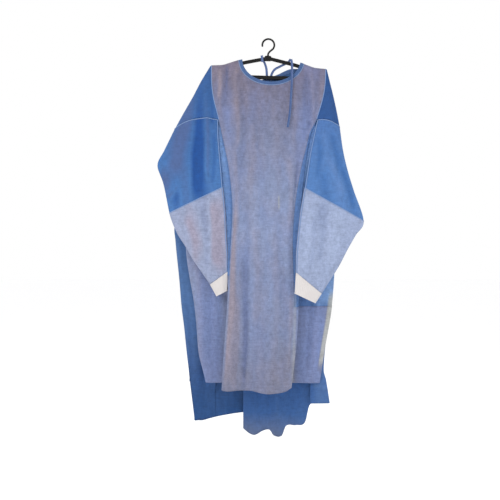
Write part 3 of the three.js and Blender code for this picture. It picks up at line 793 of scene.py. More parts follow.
@dataclass(frozen=True)
class PlasticFinish:
    """Moulded black plastic with a fine satin grain and light handling marks."""

    name: str
    colour: Colour
    worn: Colour = (30, 35, 42)

    def build(self) -> bpy.types.Material:
        """The material of the moulding.

        Returns:
            The material.
        """
        bench = NodeBench(self.name)
        grain = bench.noise(0.9, 3)
        marks = bench.noise(14, 6, (3, 1, 0.6))
        share = bench.spread(marks, 0.55, 0.75, 0.0, 0.25)
        bench.feed(bench.shader.inputs["Base Color"], bench.mix(share, seen(self.colour), seen(self.worn)))
        bench.feed(bench.shader.inputs["Roughness"], bench.spread(marks, 0.0, 1.0, 0.32, 0.52))
        bump = bench.add("ShaderNodeBump", {"Height": grain, "Strength": 0.25, "Distance": 0.0002})
        bench.feed(bench.shader.inputs["Normal"], bump.outputs["Normal"])
        bench.shader.inputs["Specular IOR Level"].default_value = 0.22
        return bench.material


@dataclass(frozen=True)
class FloorFinish:
    """Plain pale studio floor."""

    name: str = "studio_floor"
    colour: Colour = (255, 255, 255)
    cloud: Colour = (254, 254, 255)

    def build(self) -> bpy.types.Material:
        """The material of the floor.

        Returns:
            The material.
        """
        bench = NodeBench(self.name)
        colour = bench.mix(bench.noise(900, 2), linear(self.colour), linear(self.cloud))
        bench.feed(bench.shader.inputs["Base Color"], colour)
        bench.shader.inputs["Roughness"].default_value = 0.85
        return bench.material


# Tones from -400 to -800, the ridge colour and the ridge share are lightened to paint light into the slots beside
# the sleeves, where the cloth lies in shade.
FRONT_BLUE = NonwovenFinish(
    "nonwoven_front",
    ((-60, (84, 112, 162)), (-400, (112, 146, 202)), (-800, (112, 144, 198)), (-1300, (90, 118, 166))),
    ridge=(170, 206, 253),
    trough_shade=(74, 106, 162),
    highlight_share=0.9,
)
# Its tones carry painted light: pinkish at the shoulders where warm light glances, lighter through the middle,
# darker at the hem. The shaded tone paints the bluish look of the reinforcement in shade, lightened to offset that
# shade.
GREY_FRONT = NonwovenFinish(
    "nonwoven_reinforcement",
    (
        (-60, (128, 120, 138)),
        (-160, (126, 124, 146)),
        (-330, (131, 137, 166)),
        (-560, (143, 155, 188)),
        (-730, (149, 162, 197)),
        (-900, (143, 155, 188)),
        (-1100, (137, 148, 180)),
        (-1230, (133, 139, 164)),
        (-1310, (129, 133, 154)),
    ),
    ridge=(162, 150, 160),
    trough_shade=(104, 116, 156),
    shaded_tone=(130, 150, 204),
    highlight_share=0.75,
    drift=0.22,
    deep_drift=0.2,
)
# Tones from -700 to -950 are lightened to offset the shade the wing lies in there: painted light. The tones are
# darker towards the hem.
WING_OUTER = NonwovenFinish(
    "nonwoven_wing_right",
    (
        (-60, (78, 111, 162)), (-700, (86, 117, 166)), (-950, (90, 120, 167)),
        (-1200, (80, 108, 158)), (-1350, (62, 90, 138)), (-1430, (54, 84, 134)),
    ),
    ridge=(102, 134, 182),
    trough_shade=(42, 74, 130),
    mottle=0.2,
)
WING_INNER = NonwovenFinish(
    "nonwoven_wing_left",
    (
        (-60, (72, 106, 154)), (-700, (80, 112, 164)), (-1270, (76, 110, 170)),
        (-1400, (74, 107, 163)), (-1490, (104, 118, 150)),
    ),
    ridge=(106, 136, 182),
    trough_shade=(60, 92, 148),
    mottle=0.2,
)
SLEEVE_BLUE = NonwovenFinish(
    "nonwoven_sleeve",
    ((-90, (68, 100, 154)), (-300, (78, 114, 170)), (-480, (86, 128, 187)), (-900, (92, 132, 192))),
    ridge=(94, 111, 156),
    trough_shade=(42, 86, 154),
    shaded_tone=(70, 110, 172),
    highlight_share=0.8,
    shade_share=0.82,
    mottle=0.18,
)
# A shaded copy of the sleeve cloth, for the left sleeve's upper piece: painted shade.
SLEEVE_SHADED = NonwovenFinish(
    "nonwoven_sleeve_shaded",
    ((-90, (62, 93, 148)), (-330, (68, 100, 156))),
    ridge=(88, 112, 162),
    trough_shade=(54, 84, 140),
    shaded_tone=(58, 90, 148),
    mottle=0.18,
)
# A lit copy of the sleeve cloth, for the left sleeve's lower piece: painted light.
SLEEVE_LIT = NonwovenFinish(
    "nonwoven_sleeve_lit",
    ((-300, (92, 127, 185)), (-480, (97, 136, 194)), (-900, (98, 138, 196))),
    ridge=(114, 146, 200),
    trough_shade=(68, 108, 168),
    shaded_tone=(88, 128, 190),
    highlight_share=0.6,
    shade_share=0.7,
    mottle=0.18,
)
GREY_FOREARM = NonwovenFinish(
    "nonwoven_forearm",
    ((-540, (160, 170, 199)), (-700, (164, 175, 205)), (-950, (162, 172, 201))),
    ridge=(168, 158, 176),
    trough_shade=(134, 146, 180),
    shaded_tone=(140, 156, 198),
    highlight_share=0.7,
)
# A lit copy of the forearm reinforcement, for the left sleeve: painted light.
FOREARM_LIT = NonwovenFinish(
    "nonwoven_forearm_lit",
    ((-540, (162, 175, 207)), (-700, (166, 179, 211)), (-950, (164, 177, 208))),
    ridge=(174, 188, 220),
    trough_shade=(140, 154, 188),
    shaded_tone=(150, 168, 206),
    highlight_share=0.6,
)
BINDING_BLUE = NonwovenFinish(
    "nonwoven_binding",
    ((-60, (88, 112, 155)), (-200, (86, 110, 156))),
    ridge=(108, 132, 176),
    trough_shade=(62, 88, 138),
    mottle=0.2,
)
TIE_BLUE = NonwovenFinish(
    "nonwoven_tie",
    ((-50, (98, 114, 158)), (-340, (84, 108, 156))),
    ridge=(112, 128, 170),
    trough_shade=(64, 88, 140),
    mottle=0.16,
)
CUFF_KNIT = KnitFinish("cuff_rib_knit", (252, 249, 249), (241, 236, 235))
SEAM_LINE = ThreadFinish("seam_line", (140, 166, 210), (120, 148, 198))
BINDING_THREAD = ThreadFinish("binding_thread", (160, 178, 212), (138, 158, 198))
BLACK_PLASTIC = PlasticFinish("hanger_black", (12, 17, 24))


class Wardrobe:
    """Makes each finish once and hands it out."""

    def __init__(self) -> None:
        """Start with no finish made."""
        self.made: dict[str, bpy.types.Material] = {}

    def get(self, finish: object) -> bpy.types.Material:
        """The material of a finish."""
        if finish.name not in self.made:
            self.made[finish.name] = finish.build()
        return self.made[finish.name]


WARDROBE = Wardrobe()


def place_piece(
    name: str, shape: Shape, finish: object, nodes: Sequence[str] = (), smooth_faces: bool = True
) -> bpy.types.Object:
    """Put a piece in the scene, dressed and riding on the part.

    Args:
        name: name of the piece.
        shape: its mesh.
        finish: its finish.
        nodes: solids that it stands for.
        smooth_faces: True for smooth shading.

    Returns:
        The piece.
    """
    mesh = bpy.data.meshes.new(name)
    faces = [row for block in shape.faces for row in block.tolist()]
    mesh.from_pydata(shape.vertices.tolist(), [], faces)
    mesh.update()
    # The painted highlight and shade shares go on the mesh as attributes.
    for label, values in (("ridge", shape.ridge), ("pale", shape.pale)):
        if values is not None:
            layer = mesh.attributes.new(label, "FLOAT", "POINT")
            layer.data.foreach_set("value", np.ascontiguousarray(values, np.float32))
    if shape.places is not None:
        uv = mesh.uv_layers.new(name="cloth")
        loops = np.empty(len(mesh.loops), np.int32)
        mesh.loops.foreach_get("vertex_index", loops)
        uv.data.foreach_set("uv", np.ascontiguousarray(shape.places[loops].reshape(-1), np.float32))
    mesh.polygons.foreach_set("use_smooth", np.full(len(mesh.polygons), smooth_faces))
    mesh.materials.append(WARDROBE.get(finish))
    piece = bpy.data.objects.new(name, mesh)
    bpy.context.scene.collection.objects.link(piece)
    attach(piece, BODY)
    if nodes:
        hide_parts(*nodes)
    log.info("%s: %d faces", name, len(mesh.polygons))
    return piece


def declare(piece: bpy.types.Object, sheet: Sheet) -> None:
    """Log the size that a cloth piece's sheet measures flat.

    Args:
        piece: the piece.
        sheet: the sheet that it was made on.
    """
    width, length, area = sheet.cut()
    width, length = max(width, 0.0101), max(length, 0.0101)
    log.info("%s: cut %.3f x %.3f m, %.4f square metres", piece.name, width, length, area)


@dataclass(frozen=True)
class Cloth:
    """Thicknesses that the shells are made with, and distances between layers."""

    body: float = 0.6
    overlay_from: float = 0.45
    overlay_to: float = 1.0
    knit: float = 1.6
    binding: float = 2.6
    tape: float = 1.0


CLOTH = Cloth()


@dataclass(frozen=True)
class ShoulderLine:
    """Height of the cloth over the hanger's arms, and how it rounds over them."""

    reach: float = 213.0
    tilt: float = math.radians(1.8)
    rounding: float = 15.0
    edge_depth: float = 1.25
    profile: RowTable = RowTable(
        ("z",), [(0, -54), (108, -78.5), (150, -92.5), (170, -99), (190, -101), (220, -103)]
    )

    def height(self, x: Array) -> Array:
        """Height of the shoulder line at a place across."""
        return self.profile(np.abs(x))["z"] - math.tan(self.tilt) * x

    def rounded(self, depth: Array, below: Array) -> Array:
        """Depth of the cloth at a distance below the shoulder line."""
        t = np.clip(below / self.rounding, 0, 1)
        return lerp(self.edge_depth, depth, np.sqrt(t * (2 - t)))


SHOULDER = ShoulderLine()


@dataclass(frozen=True)
class Neckline:
    """Front neckline, a half ellipse bound with a tape."""

    x: float = 11.0
    z: float = -77.0
    half_width: float = 122.0
    depth: float = 93.5
    last_angle: float = math.radians(172.8)
    steps: int = 12
    tape: float = 13.5

    def point(self, k: Array, inset: float = 0.0) -> Section:
        """x and z along the neckline, moved in by an inset."""
        share = k / self.steps
        angle = self.last_angle * lerp(share, smooth(share), 0.7)
        rise = inset * 0.22
        x = self.x - (self.half_width - inset) * np.cos(angle)
        z = self.z + rise - (self.depth - inset + rise) * np.sin(angle)
        return x, z


NECK = Neckline()


@dataclass(frozen=True)
class BodyRows:
    """Heights of the gown's rows from the shoulder to a hem."""

    underarm: float = -300.0
    middle: tuple[float, ...] = (-345, -400, -480, -620, -760, -880, -995)
    first_step: float = 11.0
    upper: int = 4
    lower: int = 4
    fine: tuple[int, ...] = (4, 30, 7, 8, 11, 18, 18, 15, 15, 44)

    @property
    def count(self) -> int:
        """Number of rows of the solid."""
        return self.upper + len(self.middle) + self.lower

    def row_of(self, height: float) -> int:
        """Row at one of the middle heights."""
        return self.upper + 1 + self.middle.index(height)

    def stations(self) -> list[int]:
        """Rows at which the spacing changes."""
        return [0, 1, *range(self.upper, self.upper + len(self.middle) + 1), self.count]

    def places(self) -> Array:
        """Fine rows, counted in the solid's rows."""
        return stepped(self.stations(), self.fine)

    def height(self, j: Array, top: Array, hem: Array) -> Array:
        """Height of a row between a top edge and a hem.

        Args:
            j: the row, counted in the solid's rows.
            top: height of the top edge.
            hem: height of the hem.

        Returns:
            The height.
        """
        heights = [top, top - self.first_step, self.underarm, *self.middle, hem]
        result = np.zeros(np.broadcast(j, top, hem).shape)
        stops = self.stations()
        for k, (a, b) in enumerate(zip(stops[:-1], stops[1:])):
            part = lerp(heights[k], heights[k + 1], (j - a) / (b - a))
            result = np.where((j >= a) & (j <= b), part, result)
        return result


ROWS = BodyRows()
RIGHT_PANEL_TOP = -760.0
RIGHT_PANEL_TOP_BESIDE_STRIP = -880.0
LEFT_PANEL_TOP = -995.0


@dataclass
class FrontPanel:
    """Front of the gown with the grey reinforcement over it."""

    side_right: int = 14
    side_left: int = 16
    shoulder: int = 4
    main: int = 20
    near_edge: float = 12.0
    slot_depth: float = 2.4
    slot_share: float = 0.1
    under_sleeve: float = 5.0
    slot_ramp: float = 4.5
    highlight_width: float = 16.0
    panel_step: float = 5.6
    side_stops: tuple[tuple[float, ...], tuple[float, ...]] = ((0, 5, 7.5, 14), (0, 7.5, 11, 16))
    side_counts: tuple[tuple[int, ...], tuple[int, ...]] = ((18, 26, 16), (18, 26, 18))
    fine_main: int = 5
    sections: RowTable = RowTable(
        ("edgeR", "boundL", "edgeL", "depth", "bend", "tuckR", "tuckL", "sideR", "sideL", "sideY", "turn"),
        [
            (-60, -213, 212, 213, 8, 1, 1, 1, -213, 213, -5, 1),
            (-180, -206, 200, 201, 11, 2, 1, 1, -206, 201, -4, 1),
            (-300, -185, 178, 179, 17, 5, 1, 1, -190, 184, -4, 1),
            (-345, -176, 155, 161, 21, 7, 8, 8, -191, 175, 6, 8),
            (-400, -164, 141, 147, 26, 8, 18, 14, -208, 190, 9, 20),
            (-480, -148, 121, 136, 33, 11, 30, 26, -238, 222, 8, 32),
            (-620, -134, 97, 121, 43, 13, 38, 36, -287, 250, 7, 38),
            (-760, -139, 88, 117, 50, 14, 42, 42, -312, 254, 7, 40),
            (-995, -151, 93, 110, 60, 15, 46, 46, -280, 240, 7, 40),
            (-1150, -162, 84, 100, 68, 15, 46, 46, -263, 214, 7, 40),
            (-1320, -172, 64, 79, 75, 15, 46, 46, -228, 188, 7, 36),
        ],
    )
    hem: RowTable = RowTable(
        ("z",),
        [
            (0, -1279), (0.1, -1282), (0.2, -1272), (0.28, -1299), (0.44, -1298), (0.52, -1308),
            (0.58, -1312), (0.66, -1304), (0.71, -1292), (0.82, -1282), (0.92, -1284), (1, -1282),
        ],
    )
    sleeve_edge: RowTable = RowTable(
        ("right", "left"),
        [
            (-300, 190, 184), (-365, 187, 167), (-430, 181, 152), (-495, 175, 141), (-556, 170, 132),
            (-650, 161, 117), (-735, 157, 106), (-805, 152, 100), (-870, 151, 98),
        ],
    )
    waves: RowTable = RowTable(
        ("y",),
        [(0, 0), (0.09, -4), (0.22, 3), (0.36, -3), (0.5, 2), (0.64, -2), (0.8, 3), (0.92, -3), (1, 0)],
    )
    creases: tuple[Crease, ...] = (
        Crease((-151, -84), (-167, -275), 9, -5.0, 2),
        Crease((-186, -96), (-178, -300), 10, 4.0, 2),
        Crease((-122, -88), (-134, -360), 13, 4.5, 3),
        Crease((-92, -130), (-98, -560), 12, -4.5, 4),
        Crease((-58, -175), (-70, -640), 15, 3.0, 5),
        Crease((-24, -180), (-34, -430), 13, -2.2, 3),
        Crease((26, -190), (22, -520), 16, 2.6, 4),
        Crease((62, -178), (60, -470), 12, -2.8, 4),
        Crease((92, -130), (100, -430), 12, 3.2, 3),
        Crease((137, -92), (160, -372), 9, -5.5, 2),
        Crease((160, -96), (170, -330), 8, 4.0, 1),
        Crease((186, -104), (181, -290), 8, -3.0, 1),
        Crease((112, -330), (104, -640), 11, -4.5, 3),
        Crease((84, -400), (78, -760), 13, 3.6, 4),
        Crease((-124, -360), (-118, -760), 11, 4.2, 3),
        Crease((-130, -700), (-142, -1330), 13, 6.0, 3),
        Crease((-84, -760), (-96, -1330), 14, -6.5, 5),
        Crease((-52, -640), (-46, -1120), 18, 3.2, 6),
        Crease((-8, -560), (-16, -1000), 17, -2.8, 7),
        Crease((30, -620), (18, -1330), 18, 3.0, 7),
        Crease((-20, -1010), (-28, -1330), 13, -2.6, 3),
        Crease((62, -820), (52, -1330), 13, -3.6, 4),
        Crease((82, -900), (72, -1320), 9, 3.8, 2),
        Crease((-70, -212), (30, -226), 5, 0.9, 2),
        Crease((-40, -318), (66, -306), 5, -0.9, 3),
        Crease((-100, -486), (10, -497), 6, 0.9, 3),
        Crease((-30, -585), (80, -570), 6, -1.0, 3),
        Crease((-90, -716), (20, -730), 6, 1.0, 4),
        Crease((-60, -858), (70, -846), 6, -1.0, 3),
        Crease((-110, -985), (-10, -1001), 7, 1.0, 3),
        Crease((-30, -1108), (60, -1096), 6, -0.9, 3),
        Crease((-120, -1212), (20, -1228), 7, 1.1, 3),
        # From here on, the last value of each crease paints highlight (above zero) or shade (below zero) along the
        # folds, over what their height gives.
        Crease((-117, -560), (-166, -1345), 12, 1.0, 2, shading_and_grain=4.0),
        Crease((-112, -900), (-126, -1345), 14, 0.0, 3, shading_and_grain=2.4),
        Crease((-79, -560), (-82, -960), 16, 0.0, 3, shading_and_grain=-2.2),
        Crease((-86, -920), (-90, -1330), 8, -1.0, 2, shading_and_grain=-3.0),
        Crease((96, -960), (90, -1290), 4, 0.8, 1, shading_and_grain=2.6),
        Crease((-178, -100), (-186, -230), 8, 0.8, 2, shading_and_grain=3.0),
        Crease((-119, -84), (-116, -132), 9, 0.6, 2, shading_and_grain=2.0),
        Crease((-154, -90), (-158, -190), 4, -0.8, 1, shading_and_grain=-2.4),
        Crease((112, -440), (94, -960), 13, -0.8, 2, shading_and_grain=-3.4),
        Crease((146, -370), (153, -300), 6, -0.8, 1, shading_and_grain=-3.0),
        Crease((102, -900), (92, -1345), 12, 0.0, shading_and_grain=3.0),
        Crease((132, -150), (133, -420), 7, -1.0, 1, shading_and_grain=-3.0),
        Crease((-118, -200), (-112, -420), 10, 0.0, 2, shading_and_grain=2.6),
        Crease((-70, -180), (-64, -330), 12, 0.0, 2, shading_and_grain=-1.8),
    )
    # Zones give the pale share. Below zero they paint the bluish shaded tone where the reinforcement lies in
    # shade, on the shoulder, the chest and the side layers; the zone along x 86 to 101 paints light on a fold that
    # turns away from the light; the small one near x 37 is a pale mark.
    light_and_shade_zones: tuple[Crease, ...] = (
        Crease((152, -30), (154, -420), 36, 0, shading_and_grain=-0.22),
        Crease((122, -230), (126, -700), 22, 0, shading_and_grain=-0.28),
        Crease((-222, -640), (-214, -1500), 46, 0, sharp=6.0, shading_and_grain=-0.5),
        Crease((168, -800), (156, -1500), 62, 0, sharp=6.0, shading_and_grain=-0.55),
        Crease((-150, -230), (-146, -420), 24, 0, shading_and_grain=-0.3),
        Crease((101, -860), (86, -1370), 7, 0, shading_and_grain=0.35),
        Crease((36.5, -580), (37.5, -640), 2.8, 0, shading_and_grain=0.55),
    )
    side_creases: tuple[Crease, ...] = (
        Crease((-268, -700), (-246, -1290), 13, 4.0, 5),
        Crease((-228, -640), (-212, -1280), 11, -3.5, 4),
        Crease((-292, -900), (-262, -1290), 8, -2.5, 3),
        Crease((196, -640), (166, -1290), 12, 3.6, 4),
        Crease((164, -700), (140, -1280), 10, -3.4, 3),
        Crease((-300, -840), (-200, -870), 7, 1.0, 2),
        Crease((-280, -1060), (-190, -1040), 7, -1.0, 2),
        Crease((120, -1120), (206, -1146), 7, 1.0, 2),
        # From here on, creases without height paint light into the slots beside the sleeves and on the side
        # layers, where the sleeves shade the cloth; the last one paints shade.
        Crease((-188, -180), (-154, -900), 34, 0.0, shading_and_grain=1.2),
        Crease((-199, -120), (-133, -1050), 5, 0.0, shading_and_grain=0.8),
        Crease((205, -215), (112, -600), 6, 0.0, shading_and_grain=4.0),
        Crease((150, -400), (98, -800), 6, 0.0, shading_and_grain=3.5),
        Crease((190, -800), (215, -1010), 50, 0.0, shading_and_grain=4.0),
        Crease((-214, -900), (-190, -1330), 26, 0.0, 4, shading_and_grain=-1.2),
    )

    @property
    def columns(self) -> int:
        """Number of columns of the solid."""
        return self.side_right + self.main + self.side_left

    @property
    def main_end(self) -> int:
        """Column where the centre strip ends."""
        return self.side_right + self.main

    @property
    def strip_columns(self) -> tuple[int, int]:
        """Fine columns at the centre strip's right and left edges."""
        first = sum(self.side_counts[0])
        return first, first + self.main * self.fine_main

    def top(self, m: Array) -> Section:
        """x and z of the top edge: shoulder, neckline, shoulder."""
        k = np.clip(m - self.shoulder, 0, NECK.steps)
        neck_x, neck_z = NECK.point(k)
        past = m - self.shoulder - NECK.steps
        x = np.where(m < self.shoulder, lerp(-SHOULDER.reach, neck_x, m / self.shoulder), neck_x)
        x = np.where(past > 0, lerp(neck_x, SHOULDER.reach, past / self.shoulder), x)
        line = SHOULDER.height(x)
        on_neck = (m > self.shoulder) & (past < 0)
        return x, np.where(on_neck, np.minimum(neck_z, line), line)

    def strip(self, m: Array, z: Array, row: dict[str, Array]) -> Section:
        """x and y of the centre strip."""
        top_x, top_z = self.top(m)
        start = (top_x - row["edgeR"]) / (row["boundL"] - row["edgeR"])
        even = m / self.main
        drop = (top_z - z) / (top_z - ROWS.underarm)
        x = lerp(row["edgeR"], row["boundL"], lerp(start, even, smooth(drop)))
        fall = smooth((ROWS.underarm + 100 - z) / 700)
        y = fall * self.waves(even)["y"] - SHOULDER.rounded(row["depth"], SHOULDER.height(x) - z)
        return x, y

    def side_controls(self, side: Side, z: Array, row: dict[str, Array]) -> list[Section]:
        """Spline controls of a side layer from the strip's edge out to the side seam.

        Args:
            side: the side of the layer.
            z: heights.
            row: the front's sizes at those heights.

        Returns:
            x and y of each control.
        """
        right = side is Side.RIGHT
        out = side.out
        start = self.strip(np.full_like(z, 0.0 if right else self.main), z, row)
        edge = row["edgeR"] - 1 if right else row["edgeL"]
        tuck = row["tuckR"] if right else row["tuckL"]
        outer = row["sideR"] if right else row["sideL"]
        bend = row["bend"]
        front = start[1]
        back = front + bend
        inner = edge - out * tuck
        layer = np.maximum(row["sideY"] - bend * 0.45, back + np.minimum(bend, 8))
        fold = np.maximum(row["sideY"] + bend * 0.45, layer + np.minimum(bend, 10))
        inside = (start[0] - out * self.near_edge, front)
        corner = (edge, front + bend * 0.3)
        lead = tuple((6 * start[c] - inside[c] - corner[c]) / 4 for c in (0, 1))
        return [
            inside,
            lead,
            corner,
            (edge, back),
            (inner, back),
            (inner, layer),
            (lerp(inner, outer, 0.55), layer),
            (outer, layer),
            (outer, fold),
            (outer - out * row["turn"], fold),
        ]

    def surface(self, i: Array, j: Array) -> Array:
        """Points of the front at columns and rows of the solid."""
        m = np.clip(i - self.side_right, 0, self.main)
        z = ROWS.height(j, self.top(m)[1], self.hem(i / self.columns)["z"])
        row = self.sections(z)
        x, y = self.strip(m, z, row)
        right = spline(
            self.side_controls(Side.RIGHT, z, row), np.clip(lerp(9, 1, i / self.side_right), 1, 9)
        )
        share = (i - self.main_end) / self.side_left
        left = spline(self.side_controls(Side.LEFT, z, row), np.clip(lerp(1, 9, share), 1, 9))
        for chosen, part in ((i < self.side_right, right), (i > self.main_end, left)):
            x = np.where(chosen, part[0], x)
            y = np.where(chosen, part[1], y)
        return np.stack([x, y, z], axis=2)

    def places(self) -> tuple[Array, Array]:
        """Fine columns and rows, counted in the solid's."""
        right, left = self.side_counts
        counts = (*right, self.main * self.fine_main, *left)
        stops = (*self.side_stops[0], *(self.main_end + stop for stop in self.side_stops[1]))
        return np.meshgrid(stepped(stops, counts), ROWS.places())

    def sheet(self) -> Sheet:
        """The front as a creased sheet.

        Returns:
            The sheet.
        """
        i, j = self.places()
        points = self.surface(i, j)
        cell_i = (i[:-1, :-1] + i[:-1, 1:]) / 2
        cell_j = (j[:-1, :-1] + j[1:, :-1]) / 2
        in_main = (cell_i > self.side_right) & (cell_i < self.main_end)
        points[:, :, 1] = self.bridged(points)
        plain = Sheet(points, -1.0, active=in_main | (cell_j > ROWS.upper))
        x, z = points[:, :, 0], points[:, :, 2]
        near_right = smooth((i - self.side_right + 0.2) / 1.2)
        near_left = smooth((self.main_end - i + 0.2) / 1.2)
        front = np.full_like(x, -1.0)
        lift, shading_and_grain = lifted(x, z, self.creases, front)
        side_lift, side_shading = lifted(x, z, self.side_creases, front)
        spread = np.minimum(smooth((7.5 - i) / 2), smooth((i - 1) / 1.5))
        past = i - self.main_end
        spread = np.maximum(spread, np.minimum(smooth((past - 8) / 2), smooth((15 - past) / 1.5)))
        main = near_right * near_left
        sheet = plain.raised(lift * main + side_lift * spread, shading_and_grain * main + side_shading * spread)
        # Painted highlight along the left side layer's outer fold, then the painted light and shade of the zones.
        band = self.edge_highlight(i, x, z)
        sheet.pale = band + (1 - band) * sum(zone.shading_and_grain * zone.profile(x, z) for zone in self.light_and_shade_zones)
        return sheet

    def bridged(self, points: Array) -> Array:
        """Depths with the cloth beside each sleeve brought forward, near the centre strip.

        Args:
            points: the front's points.

        Returns:
            y at each point.
        """
        x, y, z = points[:, :, 0], points[:, :, 1].copy(), points[:, :, 2]
        first, last = self.strip_columns
        sleeve = self.sleeve_edge(z)
        window = smooth((-300 - z) / 30) * smooth((z + 960) / 50)
        for name, out, edge, columns in (
            ("right", -1, first, slice(0, first)), ("left", 1, last, slice(last + 1, None))
        ):
            strip = points[:, edge, 1][:, None]
            room = sleeve[name][:, columns] - out * x[:, columns]
            near = strip + self.slot_depth + self.slot_share * (y[:, columns] - strip)
            share = smooth((room + self.under_sleeve) / self.slot_ramp) * window[:, columns]
            y[:, columns] = lerp(y[:, columns], np.minimum(y[:, columns], near), share)
        return y

    def edge_highlight(self, i: Array, x: Array, z: Array) -> Array:
        """Share of the painted highlight, a pale band, along the left side layer's outer fold."""
        inward = x.max(axis=1)[:, None] - x
        band = smooth((self.highlight_width + 3 - inward) / 6) * smooth((i - self.main_end - 9) / 0.5)
        return 0.85 * band * smooth((-925 - z) / 50) * smooth((z + 1250) / 60)

    def overlay_cells(self, i: Array, j: Array) -> Array:
        """Cells that the reinforcement covers: the bib and a skirt across the side layers."""
        cell_i = (i[:-1, :-1] + i[:-1, 1:]) / 2
        cell_j = (j[:-1, :-1] + j[1:, :-1]) / 2
        in_main = (cell_i > self.side_right) & (cell_i < self.main_end)
        beside = cell_i > self.panel_step
        top = np.where(beside, ROWS.row_of(RIGHT_PANEL_TOP_BESIDE_STRIP), ROWS.row_of(RIGHT_PANEL_TOP))
        right = (cell_i > 1) & (cell_i < self.side_right) & (cell_j > top)
        left_most = self.columns - 1
        left = (cell_i > self.main_end) & (cell_i < left_most) & (cell_j > ROWS.row_of(LEFT_PANEL_TOP))
        return in_main | right | left

    def build(self) -> Sheet:
        """Make the front, its reinforcement and their edges.

        Returns:
            The front's sheet, which the sleeves join.
        """
        sheet = self.sheet()
        half = CLOTH.body / 2
        body = place_piece("front_cloth", shell(sheet, -half, half), FRONT_BLUE, ["front_body"])
        declare(body, sheet)
        i, j = self.places()
        cells = self.overlay_cells(i, j)
        part = Sheet(sheet.points, -1.0, active=sheet.active & cells, ridge=sheet.ridge, pale=sheet.pale)
        overlay = place_piece(
            "front_reinforcement_cloth",
            shell(sheet, CLOTH.overlay_from, CLOTH.overlay_to, cells),
            GREY_FRONT,
            ["front_reinforcement"],
        )
        declare(overlay, part)
        return sheet


